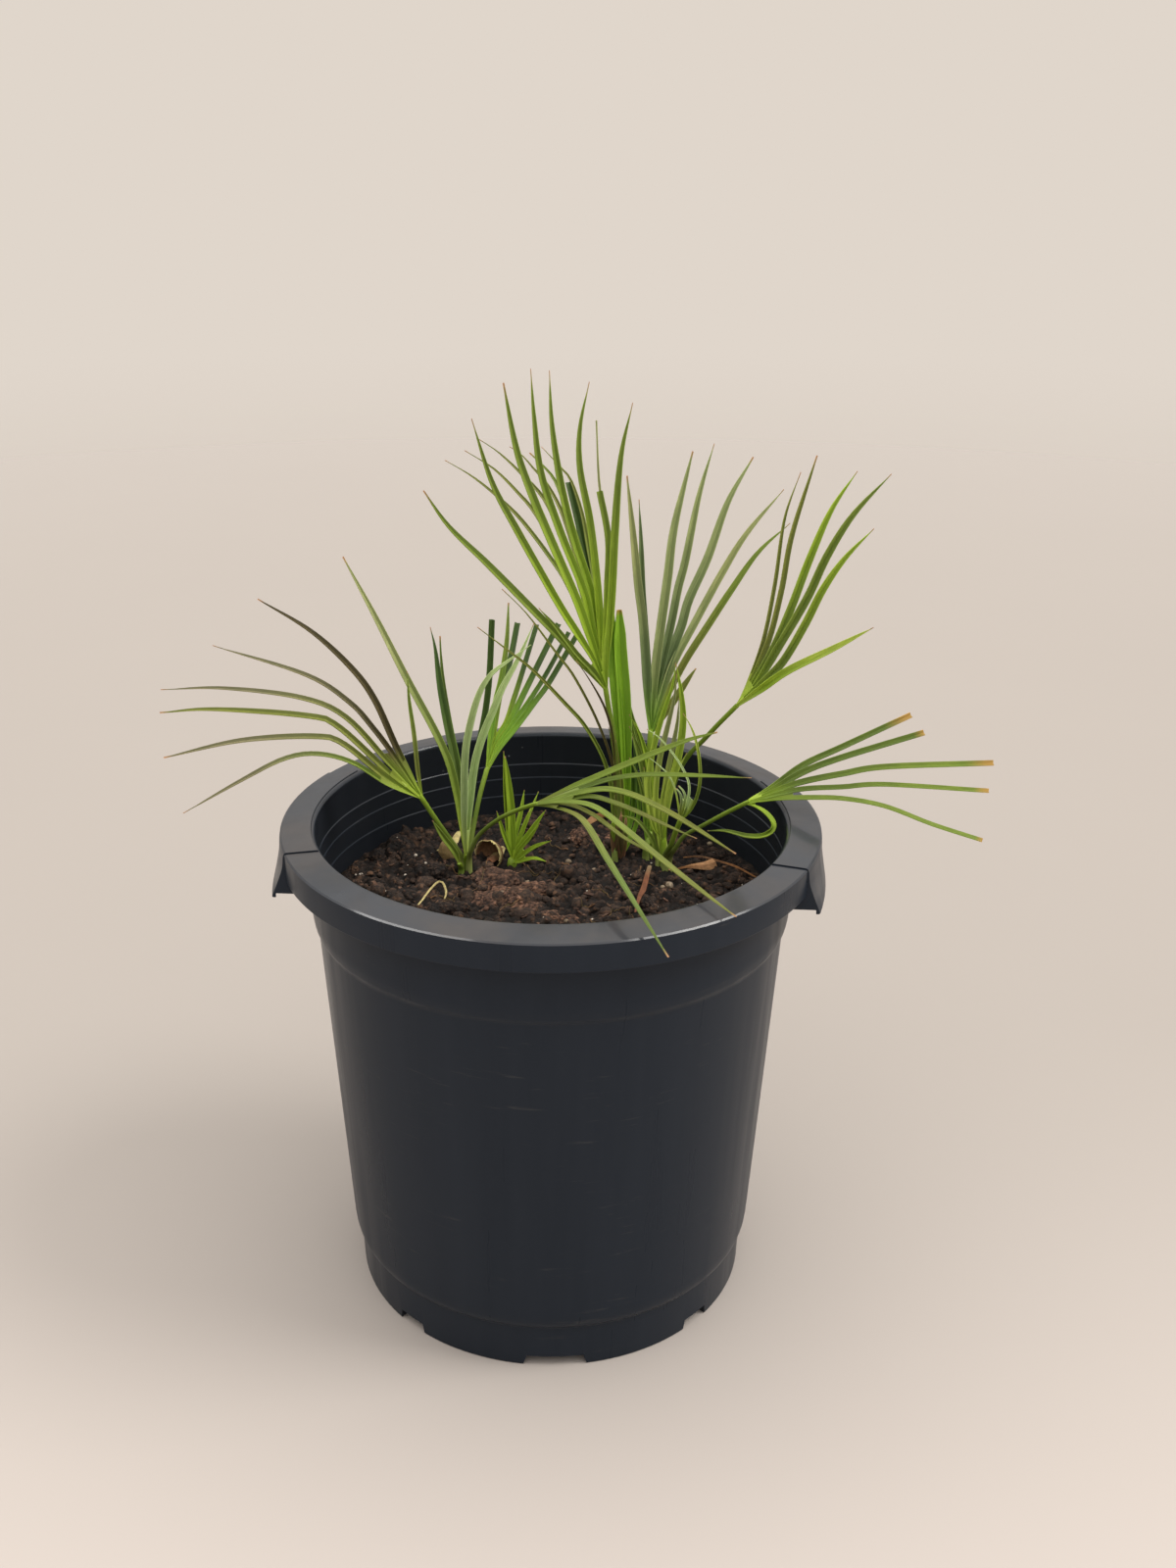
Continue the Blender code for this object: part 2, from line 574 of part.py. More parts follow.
FRONDS = [
    {
        "name": "frond_left", "colour": "leaf_olive", "foot": (CLUMP_A, -3.7, -0.4), "radius": (1.4, 1.5),
        "stalk": [(466, 866, 33), (446, 838, 30)], "hub": (430, 814, 27), "facing": (-0.1, -0.6, 0.8),
        "leaflets": [
            (38, 4.6, False, [(404, 762), (383, 716), (360, 684), (318, 645), (263, 611)]),
            (26, 4.6, False, [(402, 772), (380, 743), (357, 718), (313, 690), (217, 659)]),
            (10, 4.8, False, [(398, 781), (353, 733), (307, 713), (227, 703), (164, 704)]),
            (-2, 4.6, False, [(396, 788), (345, 742), (313, 731), (217, 724), (163, 727)]),
            (-14, 4.4, False, [(395, 795), (351, 760), (322, 752), (246, 756), (167, 773)]),
            (-24, 4.2, False, [(396, 801), (360, 779), (324, 770), (290, 775), (246, 797), (187, 830)]),
            (44, 3.6, False, [(427, 790), (423, 750), (418, 715), (415.5, 685)]),
        ],
    },
    {
        "name": "bract_left", "colour": "leaf_mid", "foot": (CLUMP_A, -3.2, -4.4), "radius": (1.1, 1.2),
        "stalk": [], "hub": (469, 882, 30), "facing": RISING,
        "leaflets": [
            (23, 3.6, False, [(464, 870), (452, 854), (441, 837)]),
        ],
    },
    {
        "name": "leaf_tuft", "colour": "leaf_sage", "foot": (CLUMP_A, 0.2, 0.0), "radius": (1.7, 1.9),
        "stalk": [], "hub": (475.5, 874, 34), "facing": RISING,
        "leaflets": [
            (76, 4.4, False, [(471, 845), (467, 815), (458, 778), (443, 745), (416, 695), (383, 630),
                              (350, 568)]),
            (84, 5.4, False, [(473, 845), (470, 812), (465, 778), (457, 742), (449, 700), (444, 662),
                              (439, 640)]),
            (88, 2.6, False, [(474, 845), (472, 812), (467, 775), (460, 742), (453, 700), (450, 670),
                              (449, 649)]),
            (2, 4.8, False, [(474, 845), (474, 815), (474.5, 780), (478, 750), (488, 712), (501, 689),
                             (520, 674),
                             (542, 658)]),
            (24, 5.2, False, [(477, 845), (480, 815), (485, 780), (493, 752), (504, 725), (513, 703),
                              (529, 673),
                              (545, 636)]),
            (48, 4.8, True, [(478, 845), (481, 815), (486, 780), (491, 752), (496, 725), (500, 689),
                             (502.6, 632)]),
        ],
    },
    {
        "name": "frond_cut_back", "colour": "leaf_dark", "foot": (CLUMP_A, 3.4, 2.9), "radius": (1.4, 1.7),
        "stalk": [(480, 862, 41), (485, 834, 47), (490, 810, 53)], "hub": (496.5, 786, 60), "facing": RISING,
        "leaflets": [
            (104, 3.0, False, [(500, 756), (505, 720), (512, 690), (517, 655), (519, 615)]),
            (112, 4.4, True, [(502, 756), (507, 724), (512, 698), (520, 676), (528, 635.7)]),
            (114, 4.6, True, [(505, 757), (516.4, 738), (523.6, 716), (530.7, 693.8), (547.7, 637.5)]),
            (114, 4.6, True, [(507, 758), (520, 738), (530.7, 716), (550.4, 675.9), (570, 636.6)]),
            (110, 4.4, True, [(509, 760), (528, 733), (545.9, 707), (559.3, 685), (580.7, 645.5)]),
            (104, 4.4, True, [(510, 763), (530, 738), (546, 716.5), (561, 696), (589.6, 647)]),
        ],
    },
    {
        "name": "frond_front", "colour": "leaf_mid", "foot": (CLUMP_A, 4.4, -3.2), "radius": (1.3, 1.5),
        "stalk": [(481, 867, 26), (489, 852, 21), (507, 837, 12), (526, 827.5, 4)], "hub": (546, 820.5, -5),
        "facing": (0.1, -0.45, 0.9),
        "leaflets": [
            (-2, 4.4, False, [(570, 810), (600, 797), (650, 776), (700, 756), (732, 747)]),
            (-14, 4.2, False, [(572, 812), (600, 803), (625, 795.6), (660, 791.5), (710, 792), (767, 794)]),
            (-58, 4.4, False, [(572, 814), (597, 808.5), (620, 806), (643, 811), (666, 821), (696, 837),
                               (751, 871)]),
            (-52, 4.2, False, [(574, 817), (603, 814), (626, 820), (649, 829), (680, 843), (711, 856)]),
            (-128, 4.4, False, [(572, 819), (597, 821), (615, 829), (638, 847), (676.5, 879), (718.6, 911.5),
                                (751, 935)]),
            (-66, 4.0, False, [(570, 821), (589, 825), (607, 834), (622, 845), (640, 858), (675, 876)]),
            (-157, 4.6, False, [(562, 823.5, -12), (580, 829, -28), (597, 841, -55), (619, 877, -98),
                                (648, 923, -134), (682.3, 976.5, -157)]),
        ],
    },
    {
        "name": "seedling_small", "colour": "leaf_mid", "foot": (CLUMP_B, 0.0, 0.0), "radius": (1.7, 2.3),
        "stalk": [], "hub": (522.5, 873.3, 48), "facing": (0.12, -0.7, 0.7),
        "leaflets": [
            (54, 6.4, False, [(518, 850), (516, 826), (515.7, 800), (513.7, 766.4)]),
            (44, 3.0, False, [(518, 862), (512, 845), (506.6, 827.6)]),
            (60, 4.2, False, [(525, 853), (531, 828), (535, 806)]),
            (66, 2.6, False, [(529, 856), (540, 830), (549.5, 807.7)]),
            (50, 3.0, False, [(528, 858), (534, 838), (539, 818)]),
            (44, 4.6, False, [(531, 860), (543, 843), (559, 826.5)]),
            (36, 3.8, False, [(534, 862), (543, 851), (552, 841)]),
            (30, 3.0, False, [(536, 868), (549, 862), (562.5, 859)]),
            (24, 2.6, False, [(534, 874), (546, 875), (557, 878)]),
        ],
    },
    {
        "name": "frond_tall", "colour": "leaf_bright", "foot": (CLUMP_C, -0.8, 1.2), "radius": (1.7, 1.6),
        "stalk": [(630, 850, 63), (631, 820, 65), (629.5, 785, 66), (626, 750, 67), (621, 722, 68)],
        "hub": (618, 703, 68), "facing": RISING,
        "leaflets": [
            (16, 4.6, False, [(604, 688), (590.5, 675), (575, 656), (541, 621), (496.5, 576), (458, 538),
                              (432.4, 500.6)]),
            (44, 3.6, False, [(605, 686), (588, 668), (567, 641), (549.5, 620.5)]),
            (40, 4.8, False, [(606, 675), (590.6, 650), (575, 626), (558, 597), (527, 542), (502, 494),
                              (481, 427)]),
            (76, 4.8, False, [(609, 672), (600, 645), (588, 612), (565, 559), (544, 509), (527, 459.5),
                              (513.7, 390.6)]),
            (98, 4.8, False, [(611, 670), (604, 640), (596, 605), (571, 542), (552, 484), (545, 427),
                              (541.5, 376.3)]),
            (108, 4.8, False, [(613, 670), (609, 640), (602, 600), (586, 551), (573, 498), (563.5, 436.5),
                               (560.6, 378)]),
            (96, 4.6, False, [(615, 670), (613, 640), (609, 590), (602, 532), (592, 479), (592, 436.5),
                              (601.4, 389.7)]),
            (80, 4.6, True, [(617, 670), (619, 640), (620, 600), (621, 551), (612, 501)]),
            (84, 5.0, False, [(619, 670), (622, 640), (625, 600), (628, 542), (634, 467), (645.8, 411)]),
            (78, 1.3, False, [(617, 670), (618, 640), (618, 600), (617, 551), (613, 503), (608.4, 429)]),
        ],
    },
    {
        "name": "frond_behind", "colour": "leaf_olive", "foot": (CLUMP_M, 0.0, 5.0), "radius": (1.5, 1.4),
        "stalk": [(665, 846, 78), (665, 815, 84), (658, 768, 94), (646, 735, 100)], "hub": (631, 702, 106),
        "facing": RISING,
        "leaflets": [
            (150, 4.0, False, [(612, 676), (590, 640), (545, 578), (500, 520), (454, 470)]),
            (154, 4.0, False, [(613, 674), (594, 635), (553, 570), (512, 511), (474, 460)]),
            (158, 4.0, False, [(615, 673), (597, 632), (560, 567), (522, 504), (488, 448)]),
            (162, 4.0, False, [(618, 672), (603, 630), (574, 570), (546, 511), (520, 457)]),
            (164, 4.0, False, [(620, 672), (608, 630), (585, 572), (562, 515), (540.5, 462)]),
            (164, 4.0, False, [(622, 672), (611, 630), (591, 570), (571, 512), (553, 457)]),
            (160, 4.2, True, [(624, 674), (615, 640), (601, 590), (588, 540), (577, 492)]),
            (156, 4.2, True, [(626, 676), (619, 640), (607, 590), (596, 540), (585.5, 492)]),
        ],
    },
    {
        "name": "leaf_behind_low", "colour": "leaf_mid", "foot": (CLUMP_M, -1.4, -2.2), "radius": (1.4, 1.5),
        "stalk": [], "hub": (664, 850, 62), "facing": RISING,
        "leaflets": [
            (84, 3.6, False, [(661, 812), (654, 778), (647, 750), (639, 716)]),
            (88, 3.4, False, [(664, 815), (659, 785), (652, 757), (645, 732), (637, 697)]),
        ],
    },
    {
        "name": "leaf_crossing", "colour": "leaf_bright", "foot": (CLUMP_C, -4.4, -5.2), "radius": (1.2, 1.4),
        "stalk": [(626, 862, 53)], "hub": (625.5, 842, 50), "facing": RISING,
        "leaflets": [
            (-14, 4.0, False, [(625, 815, 47), (620, 788, 43), (611, 765, 37), (595, 739, 28), (577, 719, 18),
                               (546, 686.6, 2), (523.6, 668, -8), (487, 640, -16)]),
            (24, 2.6, False, [(628, 812, 50), (624, 777, 48), (609, 735, 45), (586, 691, 40), (568, 667, 36),
                              (538, 627, 28), (512, 601, 22)]),
        ],
    },
    {
        "name": "frond_right_tall", "colour": "leaf_dark", "foot": (CLUMP_D, -5.4, 3.0), "radius": (1.5, 1.7),
        "stalk": [(669, 862, 46), (667, 825, 50), (665, 790, 54), (663, 765, 56)], "hub": (664, 746, 58),
        "facing": RISING,
        "leaflets": [
            (56, 4.6, False, [(661, 720), (658, 670), (655, 631), (651, 601), (647, 560), (640, 485.5)]),
            (64, 4.0, False, [(662.5, 720), (660, 670), (657, 631), (655, 601), (654, 560), (652, 509.4)]),
            (80, 4.8, False, [(666, 715), (669, 679), (674, 640), (681, 590), (688, 537), (707, 460.6)]),
            (90, 4.8, False, [(667, 717), (674, 684), (684, 640), (692, 600), (699, 573.5), (713, 506.5),
                              (729, 452.6)]),
            (96, 4.8, False, [(669, 719), (680, 680), (695, 640), (703, 612), (722, 570), (743, 512),
                              (768.6, 466.3)]),
            (92, 4.6, False, [(671, 722), (686, 680), (707, 640), (736, 587), (762, 545), (800, 499.4)]),
            (84, 4.4, False, [(673, 728), (684, 704), (700, 674), (722, 640), (747, 602), (774, 564),
                              (806.4, 534)]),
            (66, 4.0, False, [(673, 735), (683, 722), (694, 706), (710, 682)]),
        ],
    },
    {
        "name": "leaf_young_split", "colour": "leaf_bright",
        "foot": (CLUMP_D, -1.3, 0.2), "radius": (1.6, 1.8),
        "stalk": [], "hub": (677, 858, 40), "facing": RISING,
        "leaflets": [
            (41, 3.0, False, [(670, 830), (666, 790), (671, 755), (681, 720), (688, 692), (688.6, 672)]),
            (43, 3.0, False, [(674, 828), (673, 790), (677, 760), (685, 724), (690, 694)]),
            (42, 3.0, False, [(677, 828), (680, 790), (686, 756), (691, 724), (691.5, 692)]),
            (40, 3.2, False, [(681, 830), (688, 790), (694, 755), (696.6, 722), (693, 690), (690, 676)]),
        ],
    },
    {
        "name": "frond_right_bright", "colour": "leaf_bright",
        "foot": (CLUMP_D, 3.2, 2.8), "radius": (1.5, 1.4),
        "stalk": [(685, 852, 45), (690, 814, 48), (698, 784, 46), (713.5, 760, 40), (732, 740, 31)],
        "hub": (752, 720, 22), "facing": (0.25, -0.75, 0.6),
        "leaflets": [
            (46, 4.6, False, [(763, 696), (778, 655), (790, 596), (800, 530), (817, 481.7)]),
            (38, 4.6, False, [(765, 696), (783.5, 655), (797, 602), (808, 545), (834, 464.8)]),
            (24, 4.8, False, [(768, 697), (786, 667), (806, 621), (824, 573.5), (847, 522), (875, 480.7)]),
            (8, 4.8, False, [(771, 698), (795, 658), (822, 612), (843, 568), (870, 526), (909.8, 483.6)]),
            (-8, 4.6, False, [(774, 700), (797, 677), (820, 638.5), (839, 602), (862, 570), (892, 539.4)]),
            (-28, 4.6, False, [(776, 704), (803, 686), (850, 663), (891.6, 640.4)]),
        ],
    },
    {
        "name": "frond_right_low", "colour": "leaf_mid", "foot": (CLUMP_D, 4.2, -2.0), "radius": (1.3, 1.4),
        "stalk": [(689, 866, 29), (698, 853, 26), (716, 843, 22), (740, 830, 17)], "hub": (762, 819, 12),
        "facing": (0.2, -0.6, 0.8),
        "leaflets": [
            (44, 4.4, True, [(790, 802), (820, 780.6), (860, 762), (929.4, 729.7)]),
            (26, 4.6, True, [(792, 804), (820, 788), (860, 773), (942.8, 747.8)]),
            (4, 4.6, True, [(792, 807), (820, 798), (860, 790), (903, 783), (1013.6, 779)]),
            (-14, 4.6, True, [(793, 811), (820, 806), (860, 804), (903, 801.5), (1008.8, 808)]),
            (-32, 4.6, True, [(793, 816), (820, 815), (860, 816), (903, 824), (950, 842), (1002, 858.8)]),
            (16, 4.0, False, [(770, 823, 9), (781, 830, 4), (788.5, 840, 0), (787, 848, -1), (778, 853.5, 1),
                              (762, 853.5, 5), (740, 848, 10), (722, 848, 13)]),
        ],
    },
    {
        "name": "leaf_curly", "colour": "leaf_bright", "foot": (CLUMP_D, -0.4, -4.2), "radius": (1.4, 1.6),
        "stalk": [(686, 864, 25), (692, 848, 21)], "hub": (697, 833, 18), "facing": RISING,
        "leaflets": [
            (11, 1.8, False, [(706, 815), (713, 797), (714.4, 783), (711, 762), (706, 745), (697, 728)]),
            (15, 1.4, False, [(701, 822), (704, 809), (702, 799), (692.7, 777), (680, 760), (660, 744)]),
            (9, 1.4, False, [(699, 824), (699, 814), (697, 807), (693, 801)]),
            (7, 1.4, False, [(697, 824), (695, 814), (690, 804)]),
        ],
    },
]

# A young leaf that is still shut: the foot, and points with half their width.
SPEARS = [
    {
        "name": "spear_middle", "colour": "leaf_bright", "foot": (CLUMP_C, 3.4, 3.2),
        "points": [(637, 850, 68), (639, 812, 70), (638, 775, 71), (637, 740, 72), (636, 705, 73),
                   (634, 665, 74), (631, 622, 75)],
        "half_widths": [1.7, 1.6, 1.7, 2.4, 3.2, 3.6, 3.5, 2.9, 0.7],
    },
]

# Scraps that lie on the soil: points of the view, widths and the colour.
SCRAPS = [
    ("dry_leaf_long", "leaf_dry", [(663, 893), (656, 914), (648, 938)], [2.4, 3.4, 1.2]),
    ("dry_leaf_wedge", "leaf_dry", [(696, 893), (712, 891), (733, 887)], [2.0, 5.0, 8.0]),
    ("dry_leaf_strip", "leaf_dry", [(712, 877), (734, 882), (752, 889), (771, 899)], [2.6, 3.2, 3.0, 1.4]),
    ("straw_bent", "straw", [(425, 929), (438, 917), (450, 904), (455, 913),
                             (456, 928)], [1.6, 2.0, 1.8, 1.8, 1.2]),
    ("husk_pale", "straw", [(449, 874), (459, 866), (469, 855)], [3.6, 6.4, 3.0]),
    ("husk_brown", "leaf_dry", [(500, 884), (508, 876), (514, 868)], [4.0, 6.5, 3.0]),
    ("bark_bit", "leaf_dry", [(598, 845), (607, 841), (618, 837)], [3.4, 5.0, 3.0]),
]


def foot_on_soil(foot):
    clump, right, back = foot
    spot = seen_on_soil(*clump)
    return Vector((spot.x + right, spot.y + back, SOIL_TOP))


def rooted_path(foot, above, count):
    """A path that rises from a root below the soil, with two evenly spaced points underground."""
    root = foot - Vector((0.0, 0.0, ROOT_DEPTH))
    lift = min(COLLAR_HEIGHT, 0.4 * (above[0].z - foot.z))
    collar = foot.lerp(above[0], 0.12) + Vector((0.0, 0.0, lift))
    return [root, foot] + smooth_path([collar] + above, count)


def taper(first, last, count):
    return [first + (last - first) * index / (count - 1) for index in range(count)]


def socket(path, radii, flat=1.0):
    """The plain hole that a stalk stands in: its own sunk length, a little wider and deeper."""
    sunk = [path[0] - Vector((0.0, 0.0, GAP))] + path[1:3]
    wider = [radius + GAP for radius in radii[:3]]
    return helper(stalk("socket", sunk, wider, flat=flat))


def make_frond(spec, surface):
    foot = foot_on_soil(spec["foot"])
    hub = seen_at(*spec["hub"])
    rise = [seen_at(*point) for point in spec["stalk"]] + [hub]
    count = 4 + len(spec["stalk"])
    path = rooted_path(foot, rise, count)
    onward = (path[-1] - path[-2]).normalized()
    past_hub = path[-1] + onward * 2.2
    radii = taper(spec["radius"][0], spec["radius"][1], len(path))
    path.append(past_hub)
    radii.append(radii[-1] * 0.75)
    frond = stalk(spec["name"], path, radii, surface=surface)
    middle = 0.5 * (len(spec["leaflets"]) - 1)
    pieces = []
    for index, (depth, width, cut, points) in enumerate(spec["leaflets"]):
        count = 6 + (len(points) > 5) + (len(points) > 7)
        reach = [0.0]
        before = Vector(spec["hub"][:2])
        for point in points:
            reach.append(reach[-1] + (Vector(point[:2]) - before).length)
            before = Vector(point[:2])
        through = [hub - onward * (LEAFLET_STEP * index)]
        for point, along in zip(points, reach[1:]):
            behind = spec["hub"][2] + (depth - spec["hub"][2]) * along / reach[-1]
            through.append(seen_at(*point) if len(point) == 3 else seen_at(*point, behind))
        twist = math.radians(5.0) * (middle - index)
        line = smooth_path(through, count)
        pieces.append(blade(f"leaflet_{index}", line, width, Vector(spec["facing"]), cut, twist))
    fuse(frond, pieces)
    main_body(frond)
    return frond, socket(path, radii)


def make_spear(spec, surface):
    foot = foot_on_soil(spec["foot"])
    rise = [seen_at(*point) for point in spec["points"]]
    path = rooted_path(foot, rise, len(rise))
    spear = stalk(spec["name"], path, spec["half_widths"], sides=8, flat=0.6, surface=surface)
    return spear, socket(path, spec["half_widths"])


def make_scrap(name, surface, points, widths, ground):
    """A dry scrap laid on the soil: a flat strip just clear of the highest point under each station."""
    flat = smooth_path([seen_on_soil(*point) for point in points], 6)
    bm = bmesh.new()
    rings = []
    for index, (centre, along) in enumerate(zip(flat, tangents(flat))):
        along = Vector((along.x, along.y, 0.0)).normalized()
        side = Vector((-along.y, along.x, 0.0))
        place = index / (len(flat) - 1) * (len(widths) - 1)
        low = min(int(place), len(widths) - 2)
        width = widths[low] + (widths[low + 1] - widths[low]) * (place - low)
        heights = []
        for across in (-0.6, 0.0, 0.6):
            for ahead in (-3.0, 0.0, 3.0):
                spot = centre + side * (across * width) + along * ahead
                hit = ground.ray_cast(Vector((spot.x, spot.y, 320.0)) * MM, Vector((0.0, 0.0, -1.0)))
                heights.append(hit[0].z / MM)
        floor = max(heights) + GAP
        crown = 0.22 * width
        left = Vector((centre.x, centre.y, floor)) - side * (0.5 * width)
        right = Vector((centre.x, centre.y, floor)) + side * (0.5 * width)
        rib = Vector((centre.x, centre.y, floor + crown))
        thick = Vector((0.0, 0.0, BLADE_THICK))
        ring = [left, rib, right, right + thick, rib + thick, left + thick]
        rings.append([bm.verts.new(point * MM) for point in ring])
    for first, second in zip(rings, rings[1:]):
        for low in range(6):
            high = (low + 1) % 6
            bm.faces.new((first[low], first[high], second[high], second[low]))
    for ring in (rings[0], rings[-1]):
        bm.faces.new((ring[0], ring[1], ring[4], ring[5]))
        bm.faces.new((ring[1], ring[2], ring[3], ring[4]))
    bmesh.ops.triangulate(bm, faces=bm.faces)
    return mesh_object(name, bm, surface)


def ground_of(soil):
    bm = bmesh.new()
    bm.from_mesh(soil.data)
    tree = BVHTree.FromBMesh(bm)
    bm.free()
    return tree


def main():
    for old in list(bpy.data.objects):
        bpy.data.objects.remove(old)
    surfaces = {
        "pot_plastic": material("pot_plastic", (0.030, 0.032, 0.036), 0.42),
        "soil": material("soil", (0.055, 0.036, 0.025), 0.95),
        "leaf_bright": material("leaf_bright", (0.24, 0.42, 0.05), 0.45),
        "leaf_mid": material("leaf_mid", (0.17, 0.30, 0.06), 0.48),
        "leaf_sage": material("leaf_sage", (0.24, 0.33, 0.14), 0.5),
        "leaf_olive": material("leaf_olive", (0.20, 0.26, 0.07), 0.5),
        "leaf_dark": material("leaf_dark", (0.08, 0.16, 0.04), 0.48),
        "leaf_dry": material("leaf_dry", (0.30, 0.16, 0.08), 0.8),
        "straw": material("straw", (0.62, 0.50, 0.26), 0.75),
    }
    make_pot(surfaces["pot_plastic"])
    soil = make_soil(surfaces["soil"])
    feet = [foot_on_soil(spec["foot"]) for spec in FRONDS + SPEARS]
    fuse(soil, soil_clods(feet))
    sockets = []
    for spec in FRONDS:
        sockets.append(make_frond(spec, surfaces[spec["colour"]])[1])
    for spec in SPEARS:
        sockets.append(make_spear(spec, surfaces[spec["colour"]])[1])
    for hole in sockets:
        combine(soil, hole, "DIFFERENCE")
    ground = ground_of(soil)
    for name, colour, points, widths in SCRAPS:
        make_scrap(name, surfaces[colour], points, widths, ground)


main()
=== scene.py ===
# %% [markdown]
# # A potted paurotis palm
# A tuft of young fan palms grows in a moulded nursery pot. A CAD model already gives the pot, the
# soil, every frond and the litter, and it is loaded first as a fixed frame. The lesson then makes
# the finished pieces around it: a turned and cut pot, crumbled soil, folded leaflets and dry scraps.

# %% Load the frame
import math
import random

import bmesh
import bpy
from mathutils import Matrix, Vector, noise
from mathutils.bvhtree import BVHTree


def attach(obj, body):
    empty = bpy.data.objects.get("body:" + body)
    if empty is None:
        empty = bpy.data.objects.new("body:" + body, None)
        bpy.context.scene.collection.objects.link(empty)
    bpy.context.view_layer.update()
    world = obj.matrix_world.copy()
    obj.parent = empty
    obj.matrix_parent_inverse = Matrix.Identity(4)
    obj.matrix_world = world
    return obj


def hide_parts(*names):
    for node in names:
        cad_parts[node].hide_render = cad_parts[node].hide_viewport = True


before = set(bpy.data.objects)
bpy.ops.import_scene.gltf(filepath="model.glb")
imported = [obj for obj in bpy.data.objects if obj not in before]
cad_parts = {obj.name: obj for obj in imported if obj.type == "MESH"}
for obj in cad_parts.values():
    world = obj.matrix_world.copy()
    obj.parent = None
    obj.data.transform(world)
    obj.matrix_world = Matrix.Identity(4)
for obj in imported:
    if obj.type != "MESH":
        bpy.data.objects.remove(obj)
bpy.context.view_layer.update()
MM = 0.001

# %% [markdown]
# ## Camera
# The picture is upright, 1200 by 1600 points, taken from a little above the rim. The pot's two rim
# ellipses fix where the eye stood. The same numbers later turn a point of the picture and a depth
# into a place in space, so they are kept as named values.

# %% Camera
EYE = Vector((0.0, -820.8, 641.3))
EYE_PITCH = math.radians(22.28)
EYE_FOCAL = 1630.3
EYE_MIDDLE = (562.0, 800.0)
VIEW_SIZE = (1200.0, 1600.0)
SENSOR_HEIGHT = 36.0

camera = bpy.data.objects.new("camera", bpy.data.cameras.new("camera"))
bpy.context.scene.collection.objects.link(camera)
camera.location = EYE * MM
camera.rotation_euler = (math.pi / 2.0 - EYE_PITCH, 0.0, 0.0)
camera.data.sensor_fit = "VERTICAL"
camera.data.sensor_height = SENSOR_HEIGHT
camera.data.lens = SENSOR_HEIGHT * EYE_FOCAL / VIEW_SIZE[1]
camera.data.shift_x = (0.5 * VIEW_SIZE[0] - EYE_MIDDLE[0]) / VIEW_SIZE[1]
bpy.context.scene.camera = camera
print(f"lens {camera.data.lens:.2f} mm")

# %% [markdown]
# ## Shader helpers
# Node trees are long to write by hand. These helpers add one node with its settings and inputs, or
# one colour mix. A value that is the same everywhere goes straight onto a socket.

# %% Node helpers
def add(tree, kind, inputs=None, **settings):
    """A new node. An input may be a plain value or another node's output."""
    made = tree.nodes.new(kind)
    for key, value in settings.items():
        setattr(made, key, value)
    for key, value in (inputs or {}).items():
        socket = made.inputs[key]
        if isinstance(value, bpy.types.NodeSocket):
            tree.links.new(value, socket)
        else:
            socket.default_value = value
    return made


def mixed(tree, share, first, second, blend="MIX"):
    """The first colour turned into the second by a share of 0 to 1."""
    made = add(tree, "ShaderNodeMix", {0: share}, data_type="RGBA", blend_type=blend)
    for index, value in ((6, first), (7, second)):
        if isinstance(value, bpy.types.NodeSocket):
            tree.links.new(value, made.inputs[index])
        else:
            made.inputs[index].default_value = (*value, 1.0)
    return made.outputs[2]


def maths(tree, operation, first, second=0.0, third=0.0):
    return add(tree, "ShaderNodeMath", {0: first, 1: second, 2: third}, operation=operation).outputs[0]


def product(tree, first, second):
    return maths(tree, "MULTIPLY", first, second)


def ranged(tree, value, low, high, to_low=0.0, to_high=1.0):
    """A value moved smoothly from one range to another and held inside it."""
    inputs = {0: value, 1: low, 2: high, 3: to_low, 4: to_high}
    return add(tree, "ShaderNodeMapRange", inputs, interpolation_type="SMOOTHSTEP").outputs[0]


def noise_value(tree, vector, scale, detail, roughness=0.55):
    inputs = {"Vector": vector, "Scale": scale, "Detail": detail, "Roughness": roughness}
    return add(tree, "ShaderNodeTexNoise", inputs).outputs["Fac"]


def stretched(tree, vector, scale):
    """Coordinates stretched along the axes, for streaks and grain."""
    return add(tree, "ShaderNodeMapping", {"Vector": vector, "Scale": scale}).outputs[0]


def split(tree, vector):
    """The three parts of a vector."""
    return add(tree, "ShaderNodeSeparateXYZ", {0: vector}).outputs


def attribute(tree, name, output):
    """A point attribute of the mesh, as a shader reads it."""
    return add(tree, "ShaderNodeAttribute", attribute_name=name).outputs[output]


def new_material(name, roughness, specular):
    """A material with its tree, its shader and Object coordinates."""
    made = bpy.data.materials.new(name)
    made.use_nodes = True
    shader = made.node_tree.nodes["Principled BSDF"]
    shader.inputs["Roughness"].default_value = roughness
    shader.inputs["Specular IOR Level"].default_value = specular
    place = add(made.node_tree, "ShaderNodeTexCoord").outputs["Object"]
    return made, made.node_tree, shader, place


def feed(tree, shader, colour, roughness):
    """Joins a colour and a roughness to a shader."""
    tree.links.new(colour, shader.inputs["Base Color"])
    tree.links.new(roughness, shader.inputs["Roughness"])


def bumped(tree, shader, height, strength, distance):
    made = add(tree, "ShaderNodeBump", {"Height": height, "Strength": strength, "Distance": distance})
    tree.links.new(made.outputs[0], shader.inputs["Normal"])


print("materials before the new ones:", len(bpy.data.materials))

# %% [markdown]
# ## Mesh helpers
# A piece is built in a bmesh and ends as one object at the origin. Its faces are turned outwards,
# it is shaded smooth except at real creases, and it rides on the part's one body.

# %% Mesh helpers
def layers_of(bm):
    """The point attributes that leaf shaders read: place on the blade, and tint."""
    blade = bm.verts.layers.float_vector.get("blade") or bm.verts.layers.float_vector.new("blade")
    tint = bm.verts.layers.float_color.get("tint") or bm.verts.layers.float_color.new("tint")
    return blade, tint


def verts_of(grown):
    """The points among the geometry that an extrusion made."""
    return [item for item in grown if isinstance(item, bmesh.types.BMVert)]


